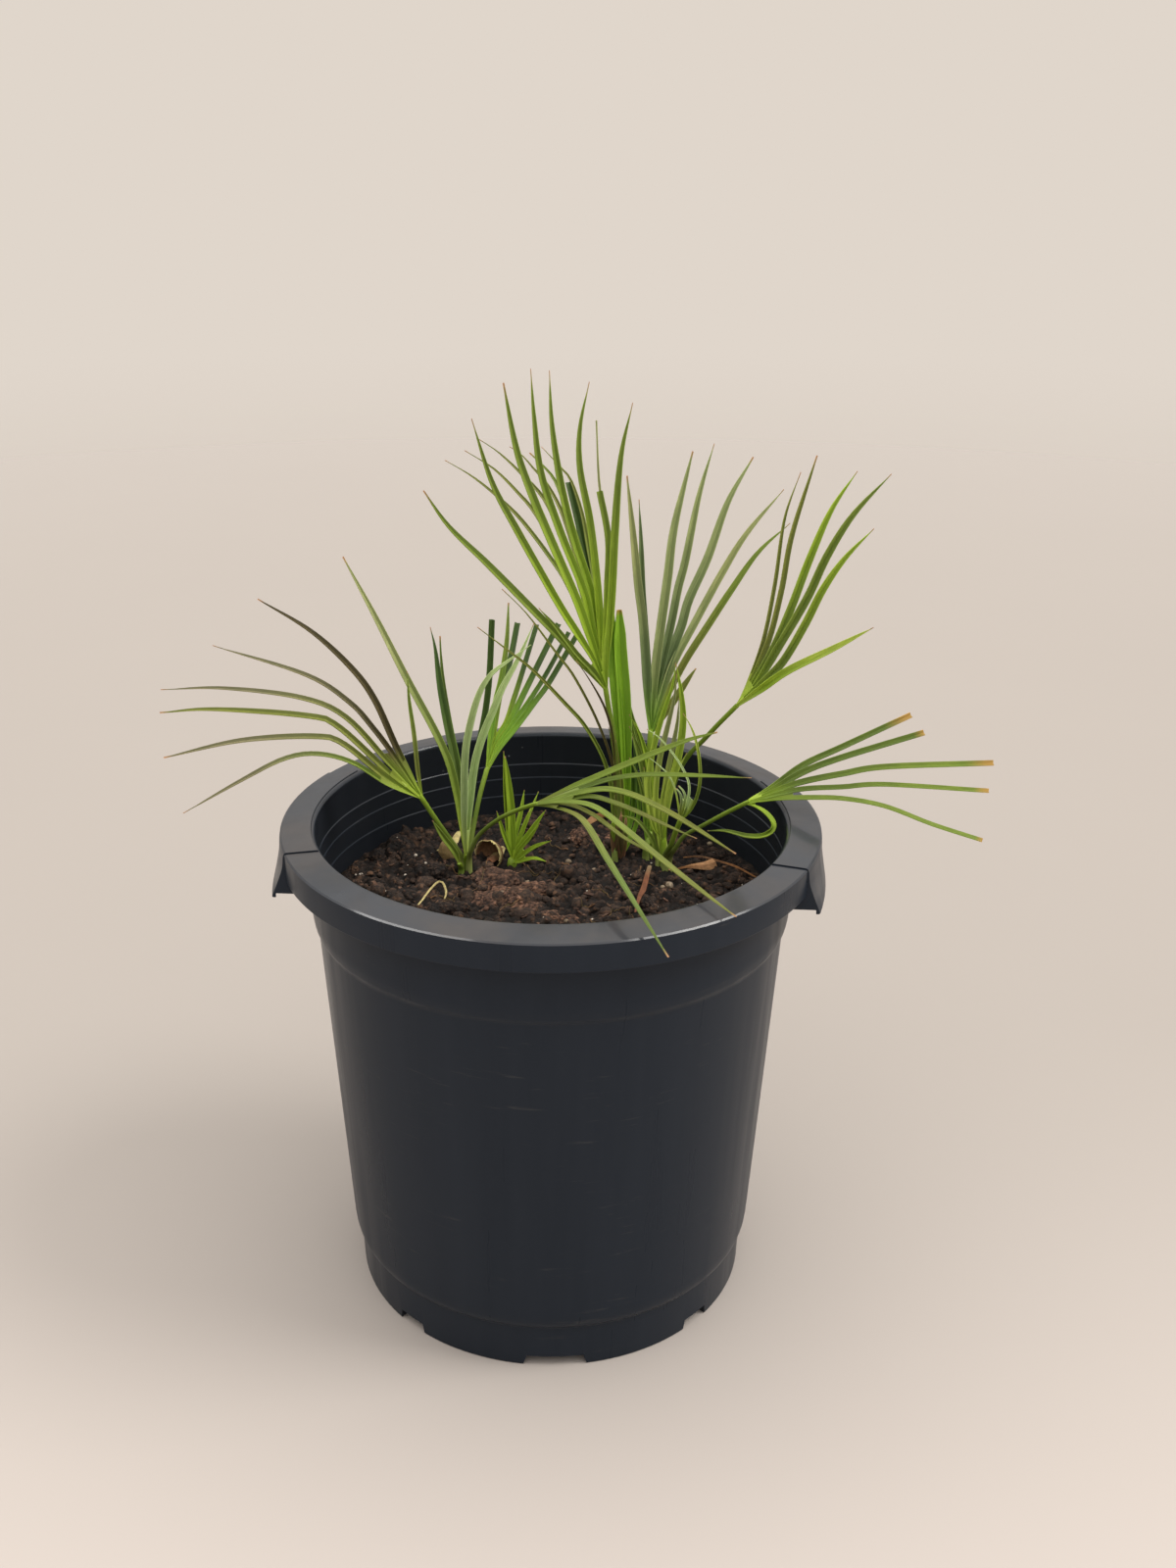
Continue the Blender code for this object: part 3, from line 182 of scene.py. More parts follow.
def plain_object(name, bm):
    """The object of a bmesh, with its faces turned outwards."""
    bmesh.ops.recalc_face_normals(bm, faces=bm.faces)
    mesh = bpy.data.meshes.new(name)
    bm.to_mesh(mesh)
    bm.free()
    made = bpy.data.objects.new(name, mesh)
    bpy.context.scene.collection.objects.link(made)
    return made


def piece_of(name, bm, surface, slot, replaced=(), crease=30.0):
    """The finished object of a bmesh, riding on the part."""
    made = plain_object(name, bm)
    mesh = made.data
    mesh.materials.append(surface)
    mesh.shade_smooth()
    mesh.set_sharp_from_angle(angle=math.radians(crease))
    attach(made, "root")
    if replaced:
        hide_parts(*replaced)
    print(f"{name}: {len(mesh.polygons)} faces")
    return made


def applied(target):
    """The target with its modifiers made real."""
    graph = bpy.context.evaluated_depsgraph_get()
    graph.update()
    mesh = bpy.data.meshes.new_from_object(target.evaluated_get(graph))
    old = target.data
    target.modifiers.clear()
    target.data = mesh
    bpy.data.meshes.remove(old)
    return target


def combine(target, other, operation):
    """One Boolean with another object, made real, and the other removed."""
    modifier = target.modifiers.new(operation.title(), "BOOLEAN")
    modifier.operation = operation
    modifier.solver = "EXACT"
    modifier.object = other
    applied(target)
    bpy.data.objects.remove(other)
    return target


def ground_of(target):
    """A search tree that finds where a ray meets an object."""
    bm = bmesh.new()
    bm.from_mesh(target.data)
    tree = BVHTree.FromBMesh(bm)
    bm.free()
    return tree


# %% [markdown]
# ## Pot
# A nursery pot is one thin moulding of dark polypropylene: a broad turned-down rim, an upper band,
# a tapered wall and a set-in foot. It could be built up from rings and tubes, but it is a body of
# revolution, so half of its section is drawn once and spun. Corners of the section get a small
# radius first, as a mould has, because a sharp edge would catch no light. The rim's outer edge has
# a flat chamfer instead, which catches one thin bright line.

# %% Pot section
RIM_RADIUS = 150.0
RIM_TOP = 286.5
RIM_EDGE_TOP = 284.2
RIM_INNER_RADIUS = 132.2
SKIRT_BOTTOM = 268.6
SKIRT_THICK = 2.2
WALL_THICK = 2.8
BAND_TOP_RADIUS = 135.8
BAND_BOTTOM_RADIUS = 134.9
BAND_BOTTOM = 240.0
WALL_TOP_RADIUS = 132.0
WALL_TOP = 229.5
WALL_BOTTOM_RADIUS = 120.2
WALL_BOTTOM = 37.0
FOOT_RADIUS = 116.6
FOOT_TOP = 27.5
FLOOR_THICK = 2.6
POT_SEGMENTS = 144
LEDGE_DEPTHS = (20.5, 29.5, 41.0)
LEDGE_STEP = 0.6
FILLET_STEPS = 4
CHAMFER_IN = 0.9
CHAMFER_DOWN = 0.7


def inner_radius(height):
    """The inside of the pot's wall, up to the lowest ledge."""
    share = (height - FLOOR_THICK) / (WALL_TOP - FLOOR_THICK)
    low = FOOT_RADIUS - WALL_THICK - 1.0
    return low + share * (WALL_TOP_RADIUS - WALL_THICK - low)


def filleted(corners):
    """A section with arcs in place of its corners. A corner is (radius, height, fillet)."""
    points = []
    last = len(corners) - 1
    for index, (radius, height, fillet) in enumerate(corners):
        here = Vector((radius, height))
        if fillet <= 0.0 or index in (0, last):
            points.append(here)
            continue
        back = Vector(corners[index - 1][:2]) - here
        ahead = Vector(corners[index + 1][:2]) - here
        reach = min(fillet, 0.45 * back.length, 0.45 * ahead.length)
        start = here + back.normalized() * reach
        end = here + ahead.normalized() * reach
        for step in range(FILLET_STEPS + 1):
            t = step / FILLET_STEPS
            points.append(start.lerp(here, t).lerp(here.lerp(end, t), t))
    return points


def pot_section():
    corners = [
        (0.0, 0.0, 0.0),
        (FOOT_RADIUS - 1.0, 0.0, 1.2),
        (FOOT_RADIUS, FOOT_TOP, 0.8),
        (FOOT_RADIUS + 2.1, FOOT_TOP + 2.4, 0.8),
        (WALL_BOTTOM_RADIUS - 0.5, FOOT_TOP + 5.4, 1.4),
        (WALL_BOTTOM_RADIUS, WALL_BOTTOM, 2.0),
        (WALL_TOP_RADIUS, WALL_TOP, 1.6),
        (WALL_TOP_RADIUS + 1.9, WALL_TOP + 3.0, 1.2),
        (BAND_BOTTOM_RADIUS - 0.2, BAND_BOTTOM - 3.0, 2.4),
        (BAND_BOTTOM_RADIUS, BAND_BOTTOM, 1.0),
        (BAND_TOP_RADIUS, RIM_EDGE_TOP - 3.2, 0.8),
        (RIM_RADIUS - SKIRT_THICK, RIM_EDGE_TOP - 4.0, 1.4),
        (RIM_RADIUS - SKIRT_THICK, SKIRT_BOTTOM, 0.5),
        (RIM_RADIUS, SKIRT_BOTTOM, 0.6),
        (RIM_RADIUS, RIM_EDGE_TOP - CHAMFER_DOWN, 0.0),
        (RIM_RADIUS - CHAMFER_IN, RIM_EDGE_TOP, 0.0),
        (RIM_INNER_RADIUS + 0.6, RIM_TOP, 1.0),
        (RIM_INNER_RADIUS - 1.3, RIM_TOP - 1.9, 1.0),
    ]
    radius = RIM_INNER_RADIUS - 1.4
    for depth in LEDGE_DEPTHS:
        corners.append((radius, RIM_TOP - depth, 0.25))
        radius -= LEDGE_STEP
        corners.append((radius, RIM_TOP - depth - LEDGE_STEP, 0.25))
    corners += [
        (inner_radius(WALL_TOP), WALL_TOP, 0.0),
        (inner_radius(FLOOR_THICK + 1.2), FLOOR_THICK + 1.2, 0.6),
        (inner_radius(FLOOR_THICK) - 1.4, FLOOR_THICK, 0.0),
        (0.0, FLOOR_THICK, 0.0),
    ]
    return filleted(corners)


def turned(name, section, close=False):
    """A body spun from a section of (radius, height) points."""
    bm = bmesh.new()
    rim = [bm.verts.new((radius * MM, 0.0, height * MM)) for radius, height in section]
    runs = [bm.edges.new(pair) for pair in zip(rim, rim[1:])]
    if close:
        runs.append(bm.edges.new((rim[-1], rim[0])))
    whole = {"cent": (0, 0, 0), "axis": (0, 0, 1), "angle": 2.0 * math.pi, "use_merge": True}
    bmesh.ops.spin(bm, geom=rim + runs, steps=POT_SEGMENTS, **whole)
    bmesh.ops.remove_doubles(bm, verts=bm.verts, dist=1e-6)
    return plain_object(name, bm)


pot = turned("pot_moulding", pot_section())
print("pot section turned:", len(pot.data.polygons), "faces")

# %% [markdown]
# ### Hand grips
# Two lengths of the rim flare into grips, with a web at each end and an open pocket behind. A flap
# could be bent out of the rim's own mesh, but its ends would tear. The flare is instead a second
# ring, kept only between two parallel planes and drawn in at its middle, because the real flap is
# less bowed than the rim. A Boolean joins it and cuts its pocket.

# %% Hand grips
GRIP_TURN = math.radians(-4.0)
GRIP_HALF_WIDTH = 57.5
GRIP_WEB = 2.8
GRIP_RAISE = 0.7
GRIP_FLARE_RADIUS = 157.6
GRIP_BOTTOM = 258.4
GRIP_WEB_BOTTOM = 260.8
GRIP_SKIN = 2.2
GRIP_FLATTENING = 0.55
PLANE_HALF_LENGTH = 170.0
PLANE_TOP = 300.0
GRIP_PLANE_BOTTOM = 240.0


def grip_section(pocket):
    """The grips' full section, or the section of the pocket inside it."""
    flare = [
        (RIM_RADIUS + 0.7, RIM_EDGE_TOP - 2.0),
        (RIM_RADIUS + 1.2, RIM_EDGE_TOP - 8.0),
        (RIM_RADIUS + 3.9, RIM_EDGE_TOP - 16.0),
        (GRIP_FLARE_RADIUS, GRIP_BOTTOM),
    ]
    if pocket:
        inner = [(radius - GRIP_SKIN, height) for radius, height in flare[1:]]
        inner[-1] = (inner[-1][0], GRIP_BOTTOM - 3.0)
        wall = BAND_TOP_RADIUS + 0.01
        top = (RIM_RADIUS - SKIRT_THICK - 1.0, RIM_EDGE_TOP - 4.6)
        return [(wall, RIM_EDGE_TOP - 4.6), (wall, GRIP_BOTTOM - 3.0), *inner[::-1], top]
    corners = [
        (RIM_INNER_RADIUS + 0.1, RIM_TOP - 3.0, 0.0),
        (RIM_INNER_RADIUS + 0.7, RIM_TOP + GRIP_RAISE, 0.8),
        (RIM_RADIUS - CHAMFER_IN, RIM_EDGE_TOP + GRIP_RAISE, 0.0),
        (RIM_RADIUS + 0.05, RIM_EDGE_TOP + GRIP_RAISE - CHAMFER_DOWN, 0.0),
        *[(radius, height, 3.0) for radius, height in flare],
        (GRIP_FLARE_RADIUS - GRIP_SKIN, GRIP_BOTTOM, 0.5),
        (GRIP_FLARE_RADIUS - GRIP_SKIN, GRIP_WEB_BOTTOM, 0.5),
        (RIM_INNER_RADIUS + 1.0, GRIP_WEB_BOTTOM, 0.0),
    ]
    return filleted(corners)


def flattened(made, base):
    """Draws a ring's flare in, most of all at the middle of each grip."""
    normal = Vector((math.cos(GRIP_TURN), math.sin(GRIP_TURN)))
    for vert in made.data.vertices:
        spot = vert.co.xy / MM
        if spot.length <= base:
            continue
        across = spot.cross(normal) / GRIP_HALF_WIDTH
        share = 1.0 - min(across * across, 1.0)
        radius = base + (spot.length - base) * (1.0 - GRIP_FLATTENING * share)
        spot *= radius / spot.length
        vert.co.xy = spot * MM
    return made


def slab(name, half_width, bottom, offset=0.0):
    """An upright box across the pot's axis, in line with the grips."""
    bm = bmesh.new()
    bmesh.ops.create_cube(bm, size=1.0)
    size = Vector((2.0 * PLANE_HALF_LENGTH, 2.0 * half_width, PLANE_TOP - bottom)) * MM
    bmesh.ops.scale(bm, vec=size, verts=bm.verts)
    middle = Vector((0.0, offset, 0.5 * (bottom + PLANE_TOP))) * MM
    bmesh.ops.translate(bm, vec=middle, verts=bm.verts)
    bmesh.ops.rotate(bm, matrix=Matrix.Rotation(GRIP_TURN, 3, "Z"), verts=bm.verts)
    return plain_object(name, bm)


grips = flattened(turned("grips", grip_section(False), close=True), RIM_RADIUS)
combine(grips, slab("wide", GRIP_HALF_WIDTH, GRIP_PLANE_BOTTOM), "INTERSECT")
combine(pot, grips, "UNION")
pocket = flattened(turned("pocket", grip_section(True), close=True), RIM_RADIUS - GRIP_SKIN)
combine(pocket, slab("narrow", GRIP_HALF_WIDTH - GRIP_WEB, GRIP_PLANE_BOTTOM), "INTERSECT")
combine(pot, pocket, "DIFFERENCE")
print("grips and pockets:", len(pot.data.polygons), "faces")

# %% [markdown]
# ### Parting grooves and drain slots
# A fine groove shows on the rim where each grip starts, and broad and narrow slots go through the
# foot by turns. Each is a simple body, placed by a turn and cut away. The groove's ring keeps the
# cut to half a millimetre, and its planes lap the grips' ends a little, because two faces in one
# plane would leave a Boolean in doubt.

# %% Grooves and drain slots
SEAM_WIDTH = 0.55
SEAM_DEPTH = 0.5
SEAM_LAP = 0.03
SEAM_CLEAR = 3.0
SEAM_SKIRT = 8.0
SEAM_PLANE_BOTTOM = 250.0
SLOT_COUNT = 8
SLOT_FIRST = math.radians(-88.8)
SLOT_HEIGHT = 6.6
SLOT_BOTTOM = -2.0
SLOT_WIDTHS = (36.0, 20.0)
SLOT_TOP_SHARE = 0.88
SLOT_INNER_RADIUS = 105.0
SLOT_OUTER_RADIUS = FOOT_RADIUS + 8.0


def seam_ring():
    """A shell that follows the rim's top and skirt, from just outside to the groove's depth."""
    foot = SKIRT_BOTTOM + SEAM_SKIRT
    bed = RIM_EDGE_TOP - SEAM_DEPTH
    return turned("seams", [
        (RIM_INNER_RADIUS + 0.4, RIM_TOP + SEAM_CLEAR),
        (RIM_RADIUS + SEAM_CLEAR, RIM_EDGE_TOP + SEAM_CLEAR),
        (RIM_RADIUS + SEAM_CLEAR, foot),
        (RIM_RADIUS - SEAM_DEPTH, foot),
        (RIM_RADIUS - SEAM_DEPTH, bed - CHAMFER_DOWN),
        (RIM_RADIUS - 1.9, bed + 0.1),
        (RIM_INNER_RADIUS + 0.4, RIM_TOP - SEAM_DEPTH),
    ], close=True)


def seam_planes():
    """One object of two thin slabs, at the grips' end planes."""
    reach = GRIP_HALF_WIDTH + 0.5 * SEAM_WIDTH - SEAM_LAP
    planes = slab("planes", 0.5 * SEAM_WIDTH, SEAM_PLANE_BOTTOM, reach)
    return combine(planes, slab("plane", 0.5 * SEAM_WIDTH, SEAM_PLANE_BOTTOM, -reach), "UNION")


def drain_slots():
    """One object of all the cutters, wedge-topped and set on rays of the pot."""
    bm = bmesh.new()
    for index in range(SLOT_COUNT):
        half = 0.5 * SLOT_WIDTHS[index % len(SLOT_WIDTHS)]
        slope = half * (1.0 - SLOT_TOP_SHARE)
        low = half - SLOT_BOTTOM * slope / SLOT_HEIGHT
        high = half - slope
        outline = [(low, SLOT_BOTTOM), (high, SLOT_HEIGHT), (-high, SLOT_HEIGHT), (-low, SLOT_BOTTOM)]
        corners = [bm.verts.new((SLOT_INNER_RADIUS * MM, y * MM, z * MM)) for y, z in outline]
        end = bm.faces.new(corners)
        moved = verts_of(bmesh.ops.extrude_face_region(bm, geom=[end])["geom"])
        reach = (SLOT_OUTER_RADIUS - SLOT_INNER_RADIUS) * MM
        bmesh.ops.translate(bm, vec=(reach, 0.0, 0.0), verts=moved)
        turn = SLOT_FIRST + index * 2.0 * math.pi / SLOT_COUNT
        bmesh.ops.rotate(bm, matrix=Matrix.Rotation(turn, 3, "Z"), verts=corners + moved)
    return plain_object("drain_slots", bm)


combine(pot, combine(seam_ring(), seam_planes(), "INTERSECT"), "DIFFERENCE")
combine(pot, drain_slots(), "DIFFERENCE")
print("grooves and slots:", len(pot.data.polygons), "faces")

# %% [markdown]
# ### Pot plastic
# The plastic is blue-black and satin, with a glossier rim. It has faint upright flow streaks from the
# mould, fine scuffs, a little pale dust on the upward faces and dried drops of water inside. The
# dust's warm tone on those upward faces is also a painted reflection of the warm backdrop. One flat
# colour would look like paint. Noise stretched along the height gives the streaks instead, and the
# same noise moves the roughness, so that the sheen breaks up as well as the colour.

# %% Pot plastic
PLASTIC_TONES = ((0.0124, 0.0174, 0.0256), (0.0192, 0.0250, 0.0350))
INSIDE_TONES = ((0.0125, 0.0150, 0.0200), (0.0200, 0.0230, 0.0290))
SCUFF_TONE = (0.07, 0.068, 0.064)
# Pale dust on the upward faces. Its warm tone is also a painted reflection of the backdrop.
DUST_AND_REFLECTION_TONE = (0.085, 0.072, 0.062)
DROP_TONE = (0.35, 0.35, 0.34)
RIM_GLOSS_HEIGHTS = (0.262, 0.268)
POT_CREASE = math.radians(24)


def pot_plastic():
    made, tree, shader, place = new_material("pot_plastic", 0.38, 0.11)
    streaks = noise_value(tree, stretched(tree, place, (70.0, 70.0, 3.0)), 1.0, 4.0)
    cloud = noise_value(tree, place, 22.0, 4.0)
    grain = noise_value(tree, place, 900.0, 2.0)
    scuffs = noise_value(tree, stretched(tree, place, (30.0, 30.0, 420.0)), 1.0, 3.0, 0.7)
    scuffed = product(tree, ranged(tree, scuffs, 0.60, 0.72), ranged(tree, cloud, 0.48, 0.62))
    facing = add(tree, "ShaderNodeNewGeometry").outputs["Normal"]
    upward = split(tree, facing)[2]
    # Dust on the upward faces: partly real dust, partly a painted warm reflection.
    dust_and_reflection = product(tree, ranged(tree, upward, 0.55, 1.0), ranged(tree, cloud, 0.3, 0.75))
    colour = mixed(tree, streaks, *PLASTIC_TONES)
    colour = mixed(tree, product(tree, scuffed, 0.35), colour, SCUFF_TONE)
    colour = mixed(tree, product(tree, dust_and_reflection, 0.5), colour, DUST_AND_REFLECTION_TONE)
    outwards = add(tree, "ShaderNodeVectorMath", {0: facing, 1: place}, operation="DOT_PRODUCT")
    inside = ranged(tree, outwards.outputs["Value"], 0.0, -0.02)
    colour = mixed(tree, inside, colour, mixed(tree, streaks, *INSIDE_TONES))
    spots = add(tree, "ShaderNodeTexVoronoi", {"Vector": place, "Scale": 95.0}).outputs["Distance"]
    drops = product(tree, ranged(tree, spots, 0.10, 0.06), ranged(tree, cloud, 0.5, 0.56))
    drops = product(tree, drops, inside)
    colour = mixed(tree, product(tree, drops, 0.5), colour, DROP_TONE)
    sheen = maths(tree, "ADD", ranged(tree, streaks, 0.3, 0.7, 0.27, 0.39), product(tree, dust_and_reflection, 0.12))
    feed(tree, shader, colour, sheen)
    rim = ranged(tree, split(tree, place)[2], *RIM_GLOSS_HEIGHTS)
    rim = product(tree, rim, ranged(tree, upward, 0.15, 0.45))
    gloss = product(tree, rim, ranged(tree, cloud, 0.3, 0.7, 0.60, 0.36))
    tree.links.new(gloss, shader.inputs["Coat Weight"])
    shader.inputs["Coat Roughness"].default_value = 0.13
    relief = maths(tree, "ADD", product(tree, streaks, 0.1), product(tree, grain, 0.12))
    bumped(tree, shader, relief, 0.12, 0.0004)
    return made


pot.name = "pot_moulded"
pot.data.materials.clear()
pot.data.materials.append(pot_plastic())
pot.data.shade_smooth()
pot.data.set_sharp_from_angle(angle=POT_CREASE)
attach(pot, "root")
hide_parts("pot")
print("pot plastic on", pot.name)

# %% [markdown]
# ## Leaf colours
# Living leaflets differ a lot within one fan: new ones are lime, old ones blue-green or olive, and
# all are brightest near the hub, where they join. Each leaflet therefore carries its tint as a
# point attribute. The colours are linear values, named as a painter would.

# %% Leaf colours
PALETTE = {
    "lime": (0.325, 0.475, 0.032),
    "spring": (0.49, 0.62, 0.082),
    "grass": (0.225, 0.42, 0.031),
    "bud": (0.31, 0.56, 0.035),
    "leaf": (0.205, 0.285, 0.036),
    "moss": (0.205, 0.23, 0.038),
    "sage": (0.325, 0.385, 0.135),
    "haze": (0.345, 0.38, 0.13),
    "pine": (0.060, 0.115, 0.018),
    "spruce": (0.165, 0.23, 0.080),
    "umber": (0.084, 0.066, 0.020),
    "blush": (0.48, 0.36, 0.20),
    "tan": (0.55, 0.30, 0.14),
    "brown": (0.34, 0.15, 0.05),
    "gold": (0.52, 0.31, 0.07),
    "sheath": (0.42, 0.46, 0.13),
    "husk": (0.24, 0.125, 0.062),
    "rust": (0.30, 0.12, 0.06),
    "straw": (0.80, 0.68, 0.30),
    "hay": (0.40, 0.28, 0.12),
    # Pale sage, made lighter than the leaves' own sage as painted light on blades that face away from the
    # light.
    "pale": (0.56, 0.72, 0.27),
    "fern": (0.125, 0.185, 0.026),
    "dusk": (0.215, 0.20, 0.09),
}


def between(first, second, share):
    """A colour on the way from one to another."""
    return tuple(a + (b - a) * share for a, b in zip(first, second))


def blended(first, second, share):
    """The same for two named colours."""
    return between(PALETTE[first], PALETTE[second], share)


print("leaf colours:", len(PALETTE))

# %% [markdown]
# ## Paths
# A leaf is placed by points of the picture with a depth behind the pot's axis. It could be bent by
# hand in space, but then it would no longer lie where the eye sees it. A smooth curve goes through
# the points. Stations are close together near the hub, where neighbouring leaflets are still
# joined by a web, and then evenly spread to the tip.

# %% Paths
EYE_AHEAD = Vector((0.0, math.cos(EYE_PITCH), -math.sin(EYE_PITCH)))
EYE_UP = Vector((0.0, math.sin(EYE_PITCH), math.cos(EYE_PITCH)))
EYE_RIGHT = Vector((1.0, 0.0, 0.0))
SOIL_TOP = 233.5
CURVE_STEPS = 14
CLOSE_SPACING = 2.0


def sight(right, down):
    across = (right - EYE_MIDDLE[0]) / EYE_FOCAL
    up = (EYE_MIDDLE[1] - down) / EYE_FOCAL
    return EYE_AHEAD + EYE_RIGHT * across + EYE_UP * up


def seen_at(right, down, depth):
    """The point seen there that lies this far behind the pot's axis."""
    line = sight(right, down)
    return EYE + line * ((depth - EYE.y) / line.y)


def seen_on_soil(right, down):
    """The point seen there that lies at the soil's level."""
    line = sight(right, down)
    return EYE + line * ((SOIL_TOP - EYE.z) / line.z)


def lengths_along(points):
    """The distance along a line of each of its points."""
    reach = [0.0]
    for first, second in zip(points, points[1:]):
        reach.append(reach[-1] + (second - first).length)
    return reach


def curve_through(points):
    """A fine curve through the points."""
    ends = [points[0] * 2 - points[1]] + list(points) + [points[-1] * 2 - points[-2]]
    fine = []
    for index in range(1, len(ends) - 2):
        before, start, end, after = ends[index - 1:index + 3]
        for step in range(CURVE_STEPS):
            t = step / CURVE_STEPS
            fine.append(0.5 * (
                2 * start
                + (end - before) * t
                + (2 * before - 5 * start + 4 * end - after) * t ** 2
                + (3 * start - before - 3 * end + after) * t ** 3
            ))
    fine.append(points[-1].copy())
    return fine


def stations(points, count, close=0):
    """Points at even distances along the curve, after a number of close ones at its start."""
    fine = curve_through(points)
    reach = lengths_along(fine)
    near = [CLOSE_SPACING * index for index in range(close) if CLOSE_SPACING * index < 0.5 * reach[-1]]
    start = near[-1] + CLOSE_SPACING if near else 0.0
    far = [start + (reach[-1] - start) * index / (count - 1) for index in range(count)]
    found = []
    place = 0
    for target in near + far:
        while place < len(fine) - 2 and reach[place + 1] < target:
            place += 1
        share = (target - reach[place]) / max(reach[place + 1] - reach[place], 1e-9)
        found.append(fine[place].lerp(fine[place + 1], min(share, 1.0)))
    return found


def tangents(path):
    found = []
    for index in range(len(path)):
        ahead = path[min(index + 1, len(path) - 1)]
        back = path[max(index - 1, 0)]
        found.append((ahead - back).normalized())
    return found


print("the view's middle meets the soil at", tuple(round(value, 1) for value in seen_on_soil(*EYE_MIDDLE)))

# %% [markdown]
# ## Leaflets and stalks
# A leaflet is a long blade folded along its rib, so its section is a shallow V. A flat card would
# show no fold and no light on one half. The section is a chain of edges, extruded from station to
# station, each new row moved by one transform that turns, widens and places it. A last extrusion
# along the normals gives it its thickness.

# %% Leaflets and stalks
BLADE_THICK = 0.45
BLADE_FOLD = 0.34
BLADE_ROOT_SHARE = 0.42
BLADE_LEAST_WIDTH = 0.45
SECTION = (-1.0, -0.7, -0.38, -0.12, 0.0, 0.12, 0.38, 0.7, 1.0)
SECTION_POWER = 1.15
WEB_REACH = 3.4
NEAR_STATIONS = 10
FAR_STATIONS = 30
WEB_STATIONS = NEAR_STATIONS + 4
STALK_FLATTENING = 0.85


def placed(centre, side, along, normal, half, lift):
    """The transform of a unit section to its place on the blade."""
    columns = (side * half, along, normal * lift, centre)
    return Matrix([[*(column[row] * MM for column in columns)] for row in range(3)] + [[0, 0, 0, 1]])


def next_row(bm, edges, move):
    """The row that an extrusion of the last row's edges makes, moved, and its own edges."""
    grown = bmesh.ops.extrude_edge_only(bm, edges=edges)["geom"]
    row = verts_of(grown)
    fresh = set(row)
    ahead = [item for item in grown if isinstance(item, bmesh.types.BMEdge) and fresh.issuperset(item.verts)]
    bmesh.ops.transform(bm, matrix=move, verts=row)
    return row, ahead


def blade_width(share, width, cut):
    """A blade's width along its length: narrow at the root, full by a quarter, tapered or cut."""
    rise = min(share / 0.26, 1.0)
    rise = rise * rise * (3.0 - 2.0 * rise)
    full = width * (BLADE_ROOT_SHARE + (1.0 - BLADE_ROOT_SHARE) * rise)
    if cut:
        return full * (1.0 - 0.18 * share)
    fall = max((share - 0.45) / 0.55, 0.0)
    return max(full * (1.0 - fall ** 2.5), BLADE_LEAST_WIDTH)


def blade_tint(share, colours, dry, cut):
    """The colour along a blade: bright at the root, its own colour, and a dry or cut end."""
    root, body, outer = colours
    tint = blended(root, body, min(share / 0.22, 1.0))
    if share > 0.3:
        tint = between(tint, PALETTE[outer], min((share - 0.3) / 0.4, 1.0))
    end = max((share - (1.0 - dry)) / dry, 0.0) if dry > 0.0 else 0.0
    last = PALETTE["gold"] if cut else PALETTE["tan"]
    return between(tint, last, min(end * 1.3, 1.0))


def grow_blade(bm, path, width, facing, colours, dry, cut=False, twist=0.0, fold=BLADE_FOLD,
               widths=None, seed=0.0):
    """One leaflet as a folded strip. Gives its rows of points."""
    blade, tint = layers_of(bm)
    last = len(path) - 1
    reach = lengths_along(path)
    rows = []
    edges = []
    before = None
    for index, (centre, along) in enumerate(zip(path, tangents(path))):
        share = reach[index] / reach[-1]
        side = along.cross(facing)
        side = side.normalized() if side.length > 0.05 else EYE_RIGHT
        side = Matrix.Rotation(twist * index / last, 3, along) @ side
        normal = side.cross(along).normalized()
        across = widths(share) if widths else blade_width(share, width, cut)
        now = placed(centre, side, along, normal, 0.5 * across, across * fold)
        if before is None:
            row = [bm.verts.new(now @ Vector((u, 0.0, abs(u) ** SECTION_POWER))) for u in SECTION]
            for vert, u in zip(row, SECTION):
                vert[blade] = (u, 0.0, seed)
            edges = [bm.edges.new(pair) for pair in zip(row, row[1:])]
        else:
            row, edges = next_row(bm, edges, now @ before.inverted())
            row.sort(key=lambda vert: vert[blade].x)
        colour = blade_tint(share, colours, dry, cut)
        for vert in row:
            vert[blade] = (vert[blade].x, share, seed)
            vert[tint] = (*colour, 1.0)
        rows.append(row)
        before = now
    return rows


def join_webs(bm, fans, reach):
    """Joins neighbouring leaflets near the hub, as long as their edges are close."""
    for first, second in zip(fans, fans[1:]):
        gaps = {(i, j): (first[3][i].co - second[3][j].co).length for i in (0, -1) for j in (0, -1)}
        i, j = min(gaps, key=gaps.get)
        for index in range(min(len(first), len(second), WEB_STATIONS) - 1):
            corners = (first[index][i], first[index + 1][i], second[index + 1][j], second[index][j])
            if (corners[1].co - corners[2].co).length > reach * MM:
                break
            bm.faces.new(corners)


def thicken(bm, thick):
    """Turns the sheets into solids: a copy of them sinks along the normals, with walls between."""
    bmesh.ops.recalc_face_normals(bm, faces=bm.faces)
    grown = bmesh.ops.extrude_face_region(bm, geom=bm.faces[:], use_keep_orig=True)["geom"]
    bm.normal_update()
    for vert in verts_of(grown):
        vert.co -= vert.normal * (thick * MM)


